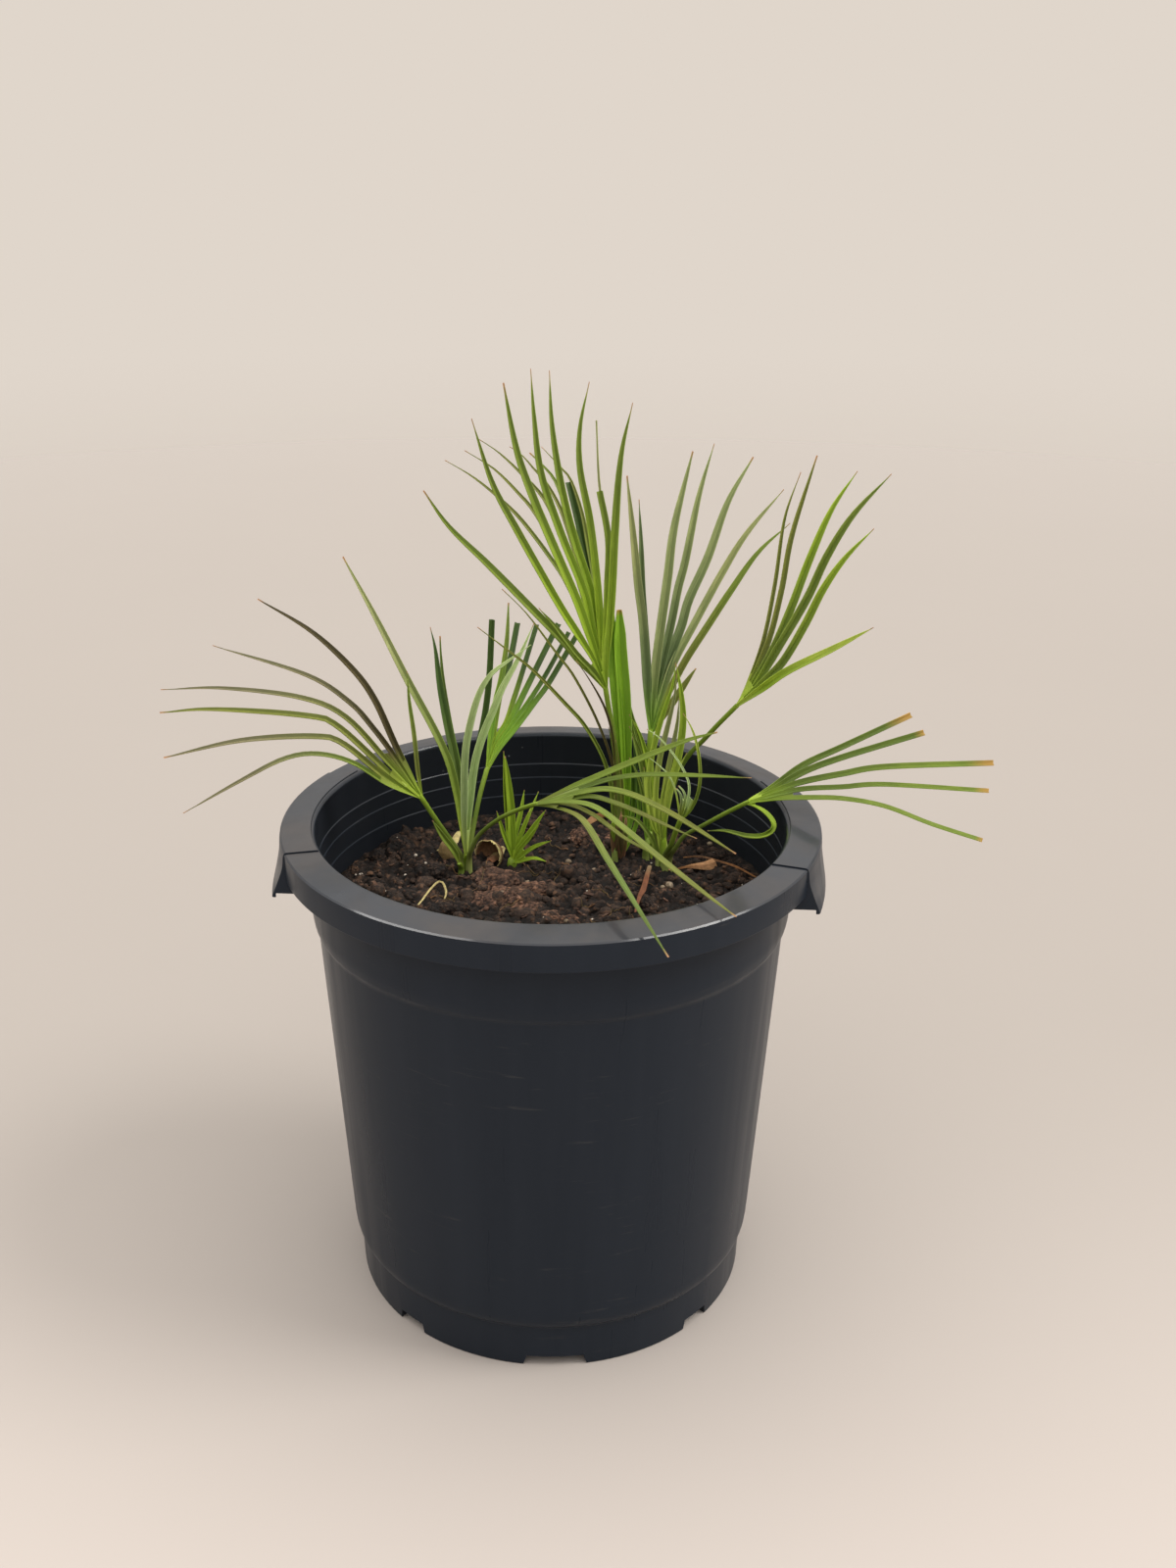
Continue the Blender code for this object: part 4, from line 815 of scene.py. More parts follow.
def grow_stalk(bm, path, radii, tints, seed, sides=10):
    """A stalk: a ring extruded along its path, closed at both ends."""
    blade, tint = layers_of(bm)
    side = EYE_RIGHT
    edges = []
    before = None
    last = len(path) - 1
    for index, (centre, along, radius) in enumerate(zip(path, tangents(path), radii)):
        side = (side - along * side.dot(along)).normalized()
        front = along.cross(side)
        now = placed(centre, side, along, front, radius, radius * STALK_FLATTENING)
        if before is None:
            upright = Matrix.Rotation(-0.5 * math.pi, 4, "X")
            ring = bmesh.ops.create_circle(bm, segments=sides, radius=1.0, matrix=now @ upright)["verts"]
            edges = list({edge for vert in ring for edge in vert.link_edges})
            bmesh.ops.contextual_create(bm, geom=edges)
        else:
            ring, edges = next_row(bm, edges, now @ before.inverted())
        share = index / last * (len(tints) - 1)
        low = min(int(share), len(tints) - 2)
        colour = blended(tints[low], tints[low + 1], share - low)
        for vert in ring:
            vert[blade] = (0.5, index / last, seed)
            vert[tint] = (*colour, 1.0)
        before = now
    bmesh.ops.contextual_create(bm, geom=edges)


print("blade section:", len(SECTION), "points, stations:", NEAR_STATIONS + FAR_STATIONS)

# %% [markdown]
# ## Leaf surface
# A palm leaflet has fine parallel veins along it, a pale rib in the fold, thin pale edges, and dull
# patches. One half of each fold is darkened as painted shade, and the rib's paleness is partly a
# painted highlight along the fold. A picture of a leaf would blur so close up, so the veins are
# drawn by waves and noise.
# All leaf materials use this, so it is one node group. It reads the tint and the place on the
# blade, and gives a colour, a roughness and a height.

# %% Leaf surface group
LEAF_SHADE = (0.55, 0.60, 0.62)
LEAF_SHINE = (1.32, 1.26, 1.5)
VEIN_WAVES = 34.0


def leaf_surface():
    group = bpy.data.node_groups.new("leaf_surface", "ShaderNodeTree")
    for name, value in (("Veins", 0.2), ("Patches", 0.3), ("Half shade", 0.4), ("Gloss", 0.42)):
        socket = group.interface.new_socket(name, in_out="INPUT", socket_type="NodeSocketFloat")
        socket.default_value = value
    for name, kind in (("Colour", "Color"), ("Roughness", "Float"), ("Height", "Float")):
        group.interface.new_socket(name, in_out="OUTPUT", socket_type="NodeSocket" + kind)
    given = add(group, "NodeGroupInput").outputs
    place = add(group, "ShaderNodeTexCoord").outputs["Object"]
    tint = attribute(group, "tint", "Color")
    across, along, seed = split(group, attribute(group, "blade", "Vector"))
    side = maths(group, "ABSOLUTE", across)
    stripes = maths(group, "SINE", product(group, across, VEIN_WAVES))
    veins = maths(group, "MULTIPLY_ADD", stripes, 0.5, 0.5)
    rib = ranged(group, side, 0.16, 0.04)
    edge = ranged(group, side, 0.86, 0.97)
    lengthwise = add(group, "ShaderNodeCombineXYZ", {0: across, 1: product(group, along, 9.0), 2: seed})
    streaks = noise_value(group, stretched(group, lengthwise.outputs[0], (5.0, 1.0, 3.0)), 1.0, 3.0)
    cloud = noise_value(group, place, 55.0, 4.0)
    dark = mixed(group, 1.0, tint, LEAF_SHADE, "MULTIPLY")
    light = mixed(group, 1.0, tint, LEAF_SHINE, "MULTIPLY")
    colour = mixed(group, ranged(group, streaks, 0.3, 0.7), mixed(group, 0.45, tint, dark), light)
    patch = product(group, ranged(group, cloud, 0.42, 0.62), given["Patches"])
    # Painted shade: one half of the fold is darkened, as if it faced away from the light.
    half = product(group, ranged(group, across, -0.05, 0.05), given["Half shade"])
    for share in (patch, product(group, veins, given["Veins"]), half):
        colour = mixed(group, share, colour, dark)
    # A lighter rib, partly its own pale colour and partly a painted highlight along the fold, and lighter
    # edges.
    for share in (product(group, rib, 0.6), product(group, edge, 0.4)):
        colour = mixed(group, share, colour, light)
    dull = maths(group, "MULTIPLY_ADD", cloud, 0.22, maths(group, "SUBTRACT", given["Gloss"], 0.08))
    height = maths(group, "ADD", product(group, veins, 0.5), product(group, rib, -0.8))
    out = add(group, "NodeGroupOutput")
    for socket, value in (("Colour", colour), ("Roughness", dull), ("Height", height)):
        group.links.new(value, out.inputs[socket])
    return group


LEAF_SURFACE = leaf_surface()

# Each finish: how strong its veins and patches are, how rough it is, and how much one half is darkened as
# painted shade of the fold.
LEAF_FINISHES = {
    "leaf_bright": (0.18, 0.25, 0.40, 0.72),
    "leaf_mid": (0.22, 0.35, 0.44, 0.70),
    "leaf_sage": (0.26, 0.30, 0.50, 0.60),
    "leaf_olive": (0.26, 0.45, 0.48, 0.60),
    "leaf_dark": (0.22, 0.40, 0.42, 0.65),
}


def leaf_material(name):
    made, tree, shader, _ = new_material(name, 0.45, 0.3)
    surface = add(tree, "ShaderNodeGroup", node_tree=LEAF_SURFACE)
    for socket, value in zip(("Veins", "Patches", "Gloss", "Half shade"), LEAF_FINISHES[name]):
        surface.inputs[socket].default_value = value
    feed(tree, shader, surface.outputs["Colour"], surface.outputs["Roughness"])
    bumped(tree, shader, surface.outputs["Height"], 0.5, 0.00012)
    return made


LEAF_MATERIALS = {name: leaf_material(name) for name in LEAF_FINISHES}
print("leaf materials:", ", ".join(LEAF_MATERIALS))

# %% [markdown]
# ## Fronds
# A frond is a stalk that ends at a hub, and leaflets that start there. Every point is a place in
# the picture with a depth, as in the CAD model. Each leaflet has the depth of its tip, its width,
# its look and its points. The look names three tints, for its root, its body and its outer half,
# then the share of it that is dry, and says so if its end was cut square.

# %% Frond waypoints
RISING = (0.0, -0.80, 0.60)
CLUMP_A = (475.0, 889.0)
CLUMP_B = (522.5, 883.0)
CLUMP_C = (631.0, 877.0)
CLUMP_M = (661.0, 874.0)
CLUMP_D = (678.0, 888.0)

FRONDS = [
    {"name": "frond_left", "colour": "leaf_olive", "foot": (CLUMP_A, -2.0, -0.4), "radius": (1.4, 1.5),
     "stalk": [(466, 866, 33), (446, 838, 30)], "hub": (430, 814, 27), "facing": (-0.1, -0.6, 0.8),
     "leaflets": [
        (38, 3.4, "lime umber umber .02", [(404, 762), (383, 716), (360, 684), (318, 645), (263, 611)]),
        (26, 3.4, "lime umber dusk .02", [(402, 772), (380, 743), (357, 718), (313, 690), (217, 659)]),
        (10, 3.6, "lime moss dusk .02", [(398, 781), (353, 733), (307, 713), (227, 703), (164, 704)]),
        (-2, 3.4, "lime moss moss .02", [(396, 788), (345, 742), (313, 731), (217, 724), (163, 727)]),
        (-14, 3.3, "lime moss dusk .02", [(395, 795), (351, 760), (322, 752), (246, 756), (167, 773)]),
        (-24, 3.1, "lime leaf dusk .03", [
            (396, 801), (360, 779), (324, 770), (290, 775), (246, 797), (187, 830)]),
        (44, 2.7, "lime moss leaf .02", [(427, 790), (423, 750), (418, 715), (415.5, 685)]),
    ]},
    {"name": "bract_left", "colour": "leaf_mid", "foot": (CLUMP_A, -2.2, -3.0), "radius": (1.1, 1.1),
     "stalk": [], "hub": (469, 882, 30), "leaflets": [
        (23, 3.6, "spring leaf leaf .05", [(464, 870), (452, 854), (441, 837)]),
    ]},
    {"name": "leaf_tuft", "colour": "leaf_sage", "foot": (CLUMP_A, 0.2, 0.0), "radius": (1.6, 0.8),
     "stalk": [], "hub": (475.5, 874, 34), "leaflets": [
        (76, 4.0, "spring leaf haze .02", [
            (471, 845), (467, 815), (458, 778), (443, 745), (416, 695), (383, 630), (350, 568)]),
        (84, 4.9, "spring fern pine .02", [
            (473, 845), (470, 812), (465, 778), (457, 742), (449, 700), (444, 662), (439, 640)]),
        (88, 2.3, "spring grass fern .02", [
            (474, 845), (472, 812), (467, 775), (460, 742), (453, 700), (450, 670), (449, 649)]),
        # These two upright blades take the pale tint, which is partly painted light.
        (2, 4.3, "spring pale pale .0", [
            (474, 845), (474, 815), (474.5, 780), (478, 750), (488, 712), (501, 689), (520, 674),
            (542, 658)]),
        (24, 4.7, "spring pale pale .02", [
            (477, 845), (480, 815), (485, 780), (493, 752), (504, 725), (513, 703), (529, 673), (545, 636)]),
        (48, 4.3, "spring pine pine .0 cut", [
            (478, 845), (481, 815), (486, 780), (491, 752), (496, 725), (500, 689), (502.6, 632)]),
    ]},
    {"name": "frond_cut_back", "colour": "leaf_dark", "foot": (CLUMP_A, 1.9, 2.0), "radius": (1.4, 1.5),
     "stalk": [(480, 862, 41), (485, 834, 47), (490, 810, 53)], "hub": (496.5, 786, 60), "webs": 1.3,
     "leaflets": [
        (104, 3.0, "lime grass leaf .02", [(500, 756), (505, 720), (512, 690), (517, 655), (519, 615)]),
        (112, 3.6, "lime lime pine .0 cut", [
            (502, 756), (507, 724), (512, 698), (520, 676), (528, 635.7)]),
        (114, 3.6, "lime lime pine .0 cut", [
            (505, 757), (516.4, 738), (523.6, 716), (530.7, 693.8), (547.7, 637.5)]),
        (114, 3.6, "lime grass pine .0 cut", [
            (507, 758), (520, 738), (530.7, 716), (550.4, 675.9), (570, 636.6)]),
        (110, 3.4, "lime grass pine .0 cut", [
            (509, 760), (528, 733), (545.9, 707), (559.3, 685), (580.7, 645.5)]),
        (104, 3.4, "lime grass pine .0 cut", [
            (510, 763), (530, 738), (546, 716.5), (561, 696), (589.6, 647)]),
    ]},
    {"name": "frond_front", "colour": "leaf_mid", "foot": (CLUMP_A, 2.2, -2.0), "radius": (1.3, 1.4),
     "stalk": [(481, 867, 26), (489, 852, 21), (507, 837, 12), (526, 827.5, 4)], "hub": (546, 820.5, -5),
     "facing": (0.1, -0.45, 0.9), "leaflets": [
        (-2, 3.5, "moss leaf leaf .02", [(570, 810), (600, 797), (650, 776), (700, 756), (732, 747)]),
        (-14, 3.4, "moss fern leaf .04", [
            (572, 812), (600, 803), (625, 795.6), (660, 791.5), (710, 792), (767, 794)]),
        (-58, 3.5, "leaf leaf moss .04", [
            (572, 814), (597, 808.5), (620, 806), (643, 811), (666, 821), (696, 837), (751, 871)]),
        (-52, 3.4, "leaf leaf moss .04", [
            (574, 817), (603, 814), (626, 820), (649, 829), (680, 843), (711, 856)]),
        (-128, 3.5, "leaf leaf moss .03", [
            (572, 819), (597, 821), (615, 829), (638, 847), (676.5, 879), (718.6, 911.5), (751, 935)]),
        (-66, 3.2, "leaf moss moss .04", [
            (570, 821), (589, 825), (607, 834), (622, 845), (640, 858), (675, 876)]),
        (-157, 3.7, "leaf moss fern .03", [
            (562, 823.5, -12), (580, 829, -28), (597, 841, -55), (619, 877, -98), (648, 923, -134),
            (682.3, 976.5, -157)]),
    ]},
    {"name": "seedling_small", "colour": "leaf_mid", "foot": (CLUMP_B, 0.0, 0.0), "radius": (1.7, 2.3),
     "stalk": [], "hub": (523.5, 877.5, 47), "facing": (0.12, -0.7, 0.7), "webs": 1.6, "leaflets": [
        (50, 4.6, "lime lime lime .02", [(520, 855), (517.5, 828), (515.5, 800), (513.7, 766.4)]),
        (48, 4.4, "lime lime lime .02", [(522, 855), (521, 828), (519, 806), (515.5, 772)]),
        (43, 2.7, "lime lime lime .02", [(520, 868), (513, 850), (506.6, 827.6)]),
        (60, 3.0, "lime lime lime .02", [(525, 855), (531, 830), (535, 806)]),
        (66, 2.2, "lime lime lime .02", [(528, 862), (538, 836), (549.5, 807.7)]),
        (50, 2.4, "lime lime lime .02", [(527, 864), (533, 848), (540, 828)]),
        (44, 3.4, "lime lime lime .02", [(530, 865), (543, 847), (557, 826.5)]),
        (36, 2.6, "lime lime lime .02", [(530, 868), (541, 855), (551, 840)]),
        (26, 3.3, "lime lime lime .02", [(532, 874), (545, 865.5), (563, 858)]),
        (20, 3.2, "lime lime lime .02", [(532, 879.5), (545, 877), (558, 879.5)]),
    ]},
    {"name": "frond_tall", "colour": "leaf_bright", "foot": (CLUMP_C, -0.8, 1.2), "radius": (1.7, 1.6),
     "stalk": [(630, 850, 63), (631, 820, 65), (629.5, 785, 66), (626, 750, 67), (621, 722, 68)],
     "hub": (618, 703, 68), "webs": 2.4, "leaflets": [
        (16, 4.5, "lime leaf leaf .04", [
            (604, 688), (590.5, 675), (575, 656), (541, 621), (496.5, 576), (458, 538), (432.4, 500.6)]),
        (44, 3.5, "lime leaf leaf .04", [(605, 686), (588, 668), (567, 641), (549.5, 620.5)]),
        (40, 4.7, "lime lime leaf .04", [
            (606, 675), (590.6, 650), (575, 626), (558, 597), (527, 542), (502, 494), (481, 427)]),
        (76, 4.7, "lime lime leaf .04", [
            (609, 672), (600, 645), (588, 612), (565, 559), (544, 509), (527, 459.5), (513.7, 390.6)]),
        (98, 4.7, "lime lime leaf .04", [
            (611, 670), (604, 640), (596, 605), (571, 542), (552, 484), (545, 427), (541.5, 376.3)]),
        (108, 4.7, "lime lime leaf .04", [
            (613, 670), (609, 640), (602, 600), (586, 551), (573, 498), (563.5, 436.5), (560.6, 378)]),
        (96, 4.5, "lime lime leaf .04", [
            (615, 670), (613, 640), (609, 590), (602, 532), (592, 479), (592, 436.5), (601.4, 389.7)]),
        (80, 4.5, "lime lime leaf .0 cut", [(617, 670), (619, 640), (620, 600), (621, 551), (612, 501)]),
        (84, 4.8, "lime lime leaf .04", [
            (619, 670), (622, 640), (625, 600), (628, 542), (634, 467), (645.8, 411)]),
        (84, 1.3, "lime leaf haze .0", [
            (617, 670), (619, 640), (620, 600), (621, 551), (613, 505), (610.5, 480), (608.4, 429)]),
    ]},
    {"name": "frond_behind", "colour": "leaf_olive", "foot": (CLUMP_M, 0.0, 5.0), "radius": (1.5, 1.4),
     "stalk": [(665, 846, 78), (665, 815, 84), (658, 768, 94), (646, 735, 100)], "hub": (631, 702, 106),
     "leaflets": [
        (150, 2.9, "leaf leaf moss .02", [
            (612, 676), (594, 630), (576, 592), (560, 568), (546, 549), (530, 529), (515, 514), (493, 495),
            (475, 482), (454, 470)]),
        (154, 2.9, "leaf moss moss .02", [
            (614, 674), (600, 640), (585, 608), (572, 578), (560, 548), (543, 520), (529, 504), (515, 489),
            (503, 478), (491, 470), (474, 460)]),
        (158, 2.9, "leaf leaf moss .02", [
            (615, 673), (604, 640), (592, 600), (580, 562), (568, 535), (556, 511), (545, 497), (531, 483),
            (519, 471), (505, 459), (488, 448)]),
        (162, 2.9, "leaf moss moss .02", [
            (618, 672), (606, 630), (594, 590), (584, 555), (574, 525), (565, 506), (555, 490), (545, 479),
            (533, 465), (520, 456)]),
        (164, 2.7, "leaf leaf leaf .02", [
            (620, 672), (610, 630), (600, 590), (590, 555), (581, 528), (573, 506), (565, 488), (553, 474),
            (540.5, 462)]),
        (164, 2.7, "leaf leaf moss .02", [
            (622, 672), (614, 630), (606, 590), (600, 556), (594, 524), (583, 491), (573, 478), (563, 467),
            (552.5, 456)]),
        (158, 5.6, "leaf pine pine .0 cut", [
            (625, 675), (616, 640), (606, 600), (597, 560), (589, 525), (581, 492)]),
    ]},
    {"name": "leaf_behind_low", "colour": "leaf_mid", "foot": (CLUMP_M, -1.4, -2.2), "radius": (1.4, 1.5),
     "stalk": [], "hub": (664, 850, 62), "leaflets": [
        (84, 3.6, "grass leaf leaf .04", [(661, 812), (654, 778), (647, 750), (639, 716)]),
        (88, 3.4, "grass leaf leaf .04", [(664, 815), (659, 785), (652, 757), (645, 732), (637, 697)]),
    ]},
    {"name": "leaf_crossing", "colour": "leaf_bright", "foot": (CLUMP_C, -2.4, -3.2), "radius": (1.2, 1.4),
     "stalk": [(626, 862, 53)], "hub": (625.5, 842, 50), "leaflets": [
        (-14, 2.4, "leaf leaf moss .03", [
            (625, 815, 47), (620, 788, 43), (611, 765, 37), (595, 739, 28), (577, 719, 18),
            (546, 686.6, 2), (523.6, 668, -8), (487, 640, -16)]),
        (24, 1.6, "moss umber moss .03", [
            (628, 812, 50), (624, 777, 48), (609, 735, 45), (586, 691, 40), (568, 667, 36), (538, 627, 28),
            (512, 601, 22)]),
    ]},
    {"name": "frond_right_tall", "colour": "leaf_dark", "foot": (CLUMP_D, -3.2, 2.0), "radius": (1.5, 1.7),
     "stalk": [(669, 862, 46), (667, 825, 50), (665, 790, 54), (663, 765, 56)], "hub": (664, 746, 58),
     "webs": 1.8, "leaflets": [
        (56, 4.6, "grass spruce haze .03", [
            (661, 720), (658, 670), (655, 631), (651, 601), (647, 560), (640, 485.5)]),
        (64, 4.0, "grass spruce spruce .03", [
            (662.5, 720), (660, 670), (657, 631), (655, 601), (654, 560), (652, 509.4)]),
        (80, 4.8, "grass sage sage .03", [
            (666, 715), (669, 679), (674, 640), (681, 590), (688, 537), (707, 460.6)]),
        (90, 4.8, "grass spruce sage .03", [
            (667, 717), (674, 684), (684, 640), (692, 600), (699, 573.5), (713, 506.5), (729, 452.6)]),
        (96, 4.8, "grass spruce sage .03", [
            (669, 719), (680, 680), (695, 640), (703, 612), (722, 570), (743, 512), (768.6, 466.3)]),
        (92, 4.6, "grass sage haze .03", [
            (671, 722), (686, 680), (707, 640), (736, 587), (762, 545), (800, 499.4)]),
        (84, 4.4, "grass moss leaf .03", [
            (673, 728), (684, 704), (700, 674), (722, 640), (747, 602), (774, 564), (806.4, 534)]),
        (66, 4.0, "grass moss moss .03", [(673, 735), (683, 722), (694, 706), (710, 682)]),
    ]},
    {"name": "leaf_young_split", "colour": "leaf_bright", "foot": (CLUMP_D, -1.3, 0.2),
     "radius": (1.6, 1.8), "stalk": [], "hub": (677, 858, 40), "leaflets": [
        (41, 3.4, "lime spring lime .02", [
            (666, 842), (661, 806), (663, 783), (668, 758), (677, 727), (686, 700), (689.5, 676)]),
        (43, 3.4, "lime spring haze .02", [
            (670, 842), (669, 806), (673, 775), (681, 742), (688, 712), (690.5, 688)]),
        (42, 3.2, "spring spring haze .02", [(674, 842), (679, 800), (686, 765), (691, 738), (693, 712)]),
        (40, 4.6, "lime spring lime .02", [
            (677, 845), (682, 812), (690, 782), (695, 756), (697, 733), (695, 706), (690, 678)]),
    ]},
    {"name": "frond_right_bright", "colour": "leaf_bright", "foot": (CLUMP_D, 1.8, 1.8),
     "radius": (1.5, 1.4),
     "stalk": [(677, 852, 45), (684, 812, 48), (693.5, 786, 47), (704, 769, 44), (717, 756, 40),
               (732, 740, 31)], "hub": (752, 720, 22), "facing": (0.25, -0.75, 0.6), "webs": 2.0,
     "leaflets": [
        (46, 2.6, "lime moss moss .05", [(763, 696), (778, 655), (790, 596), (800, 530), (817, 481.7)]),
        (38, 3.0, "lime moss moss .04", [(765, 696), (783.5, 655), (797, 602), (808, 545), (834, 464.8)]),
        (24, 4.8, "lime leaf lime .03", [
            (768, 697), (786, 667), (806, 621), (824, 573.5), (847, 522), (875, 480.7)]),
        (8, 4.8, "lime leaf leaf .03", [
            (771, 698), (795, 658), (822, 612), (843, 568), (870, 526), (909.8, 483.6)]),
        (-8, 4.6, "lime leaf lime .03", [
            (774, 700), (797, 677), (820, 638.5), (839, 602), (862, 570), (892, 539.4)]),
        (-28, 4.6, "spring lime spring .04", [(776, 704), (803, 686), (850, 663), (891.6, 640.4)]),
    ]},
    {"name": "frond_right_low", "colour": "leaf_mid", "foot": (CLUMP_D, 2.4, -1.4), "radius": (1.3, 1.4),
     "stalk": [(689, 866, 29), (698, 853, 26), (716, 843, 22), (740, 830, 17)], "hub": (762, 819, 12),
     "facing": (0.2, -0.6, 0.8), "webs": 1.5, "leaflets": [
        (44, 3.5, "lime fern fern .15 cut", [(790, 802), (820, 780.6), (860, 762), (929.4, 729.7)]),
        (26, 3.7, "lime fern fern .04 cut", [(792, 804), (820, 788), (860, 773), (942.8, 747.8)]),
        (4, 3.7, "lime fern leaf .10 cut", [
            (792, 807), (820, 798), (860, 790), (903, 783), (1013.6, 779)]),
        (-14, 3.7, "lime fern leaf .06 cut", [
            (793, 811), (820, 806), (860, 804), (903, 801.5), (1008.8, 808)]),
        (-32, 3.7, "lime leaf leaf .015 cut", [
            (793, 816), (820, 815), (860, 816), (903, 824), (950, 842), (1002, 858.8)]),
        (16, 3.2, "lime lime leaf .02", [
            (770, 823, 9), (781, 830, 4), (788.5, 840, 0), (787, 848, -1), (778, 853.5, 1),
            (762, 853.5, 5), (740, 848, 10), (722, 848, 13)]),
    ]},
    {"name": "leaf_curly", "colour": "leaf_bright", "foot": (CLUMP_D, -0.4, -2.6), "radius": (1.4, 1.6),
     "stalk": [(684, 864, 25), (689, 850, 21)], "hub": (694, 838, 18), "leaflets": [
        (11, 2.0, "lime leaf spring .04", [
            (704, 828), (711, 813), (714, 797), (713.5, 777), (710, 757), (705, 742), (697, 728)]),
        (20, 1.5, "spring pale pale .02", [
            (700, 822), (703, 809), (702, 797), (695, 782), (684, 766), (672, 752.5), (660, 744)]),
        (11, 1.2, "lime spring pale .02", [(697, 826), (699, 814), (697, 807), (692.5, 802)]),
        (8, 1.2, "lime spring pale .02", [(694, 827), (695.5, 818), (694, 810), (690.5, 805)]),
        (22, 1.1, "lime spring pale .02", [(692, 822), (688, 803), (681, 790), (671, 780), (662, 773)]),
    ]},
]

print("fronds:", len(FRONDS), "leaflets:", sum(len(spec["leaflets"]) for spec in FRONDS))

# Loose blades that crowd the middle: the foot, and for each blade a width, a look and points.
STRANDS = [
    {"name": "strands_middle", "colour": "leaf_bright", "foot": CLUMP_C, "blades": [
        (3.4, "lime leaf leaf .02", [(627, 840, 56), (623, 800, 56), (618, 780, 55), (611, 764, 54)]),
        (1.8, "grass moss umber .02", [
            (629, 838, 60), (628, 790, 60), (625, 750, 58), (617, 722, 56), (603, 696, 52), (588, 674, 48)]),
        (3.0, "lime grass leaf .02", [(633, 838, 66), (630, 800, 68), (627, 770, 69), (621, 742, 70)]),
        (2.6, "grass leaf moss .02", [(635, 838, 60), (634, 800, 61), (631, 775, 61), (628, 755, 61)]),
        (3.2, "lime grass pine .02", [(644, 835, 70), (645, 800, 72), (643, 770, 74), (640, 745, 75)]),
        (2.8, "lime grass pine .02", [(650, 838, 62), (650, 805, 64), (648, 775, 66), (645, 752, 67)]),
    ]},
    {"name": "strands_behind", "colour": "leaf_mid", "foot": CLUMP_M, "blades": [
        (3.8, "lime leaf lime .02", [
            (665, 845, 66), (667, 813, 66), (663, 790, 66), (658, 767, 66), (652, 748, 66), (642, 729, 66)]),
        (3.0, "lime leaf leaf .02", [
            (662, 845, 64), (662, 807, 66), (657, 783, 66), (651, 762, 66), (642, 741, 66)]),
        (2.6, "grass grass leaf .02", [(659, 845, 60), (656, 812, 61), (650, 790, 62), (642, 773, 63)]),
    ]},
    {"name": "strands_right", "colour": "leaf_bright", "foot": CLUMP_D, "blades": [
        (3.2, "spring lime spring .02", [(671, 862, 46), (664, 835, 50), (659, 807, 52), (657, 783, 53)]),
        (2.8, "lime spring lime .02", [(674, 862, 44), (669, 830, 47), (667, 800, 49), (665, 773, 51)]),
        (3.0, "lime lime spring .02", [
            (677, 860, 42), (678, 830, 42), (684, 803, 42), (692, 785, 42), (701, 768, 43)]),
        (2.2, "lime leaf spring .02", [(675, 862, 40), (674, 835, 40), (676, 810, 40), (681, 788, 41)]),
        (2.6, "lime leaf leaf .02", [(668, 864, 42), (658, 846, 44), (648, 836, 46), (634, 832, 48)]),
    ]},
    {"name": "sheath_old", "colour": "leaf_olive", "foot": CLUMP_C, "blades": [
        (5.0, "husk husk umber .3", [(627, 862, 52), (626, 846, 53), (627, 830, 54)]),
        (4.4, "husk umber umber .3", [(632, 864, 52), (632, 846, 53), (634, 828, 54)]),
        (3.4, "husk husk moss .3", [(637, 862, 56), (638, 846, 57), (639, 832, 58)]),
    ]},
]

# %% [markdown]
# ### Growing the fronds
# Each frond is one mesh. The leaflets grow first, joined by short webs at the hub, and one extrusion
# thickens them all. The stalk comes last, with a swollen sheath at its foot, because it is solid and
# must not be thickened too.

# %% Grow the fronds
FOOT_SUNK = 6.0
COLLAR_HEIGHT = 9.0
SHEATH_REACH = 24.0
SHEATH_SWELL = 0.9
STALK_STATIONS = 26
STALK_TINTS = ("sheath", "leaf", "lime")
STALK_END = 2.0
HUB_STEP = 0.25
FAN_TWIST = math.radians(5.0)


def foot_on_soil(foot):
    clump, right, back = foot
    spot = seen_on_soil(*clump)
    return Vector((spot.x + right, spot.y + back, SOIL_TOP))


def stalk_path(foot, above):
    """A path that rises from just under the soil."""
    lift = min(COLLAR_HEIGHT, 0.4 * (above[0].z - foot.z))
    collar = foot.lerp(above[0], 0.12) + Vector((0.0, 0.0, lift))
    root = foot - Vector((0.0, 0.0, FOOT_SUNK))
    return stations([root, foot, collar] + above, STALK_STATIONS)


def swollen(path, foot, low, high):
    """A stalk's radii: slim above, and swollen where the sheath wraps it."""
    last = len(path) - 1
    radii = []
    for index, point in enumerate(path):
        near = max(1.0 - max(point.z - foot.z, 0.0) / SHEATH_REACH, 0.0)
        radii.append(low + (high - low) * index / last + SHEATH_SWELL * near ** 1.5)
    return radii


def leaflet_path(spec, depth, points, start):
    """A leaflet's points in space: those with no depth of their own share it out to the tip's."""
    reach = lengths_along([Vector(point[:2]) for point in [spec["hub"], *points]])
    through = [start]
    for point, along in zip(points, reach[1:]):
        behind = spec["hub"][2] + (depth - spec["hub"][2]) * along / reach[-1]
        through.append(seen_at(*point) if len(point) == 3 else seen_at(*point, behind))
    return through


def look_of(text):
    """A leaflet's three tints, its dry share, and whether its end was cut."""
    root, body, outer, dry, *end = text.split()
    return (root, body, outer), float(dry), "cut" in end


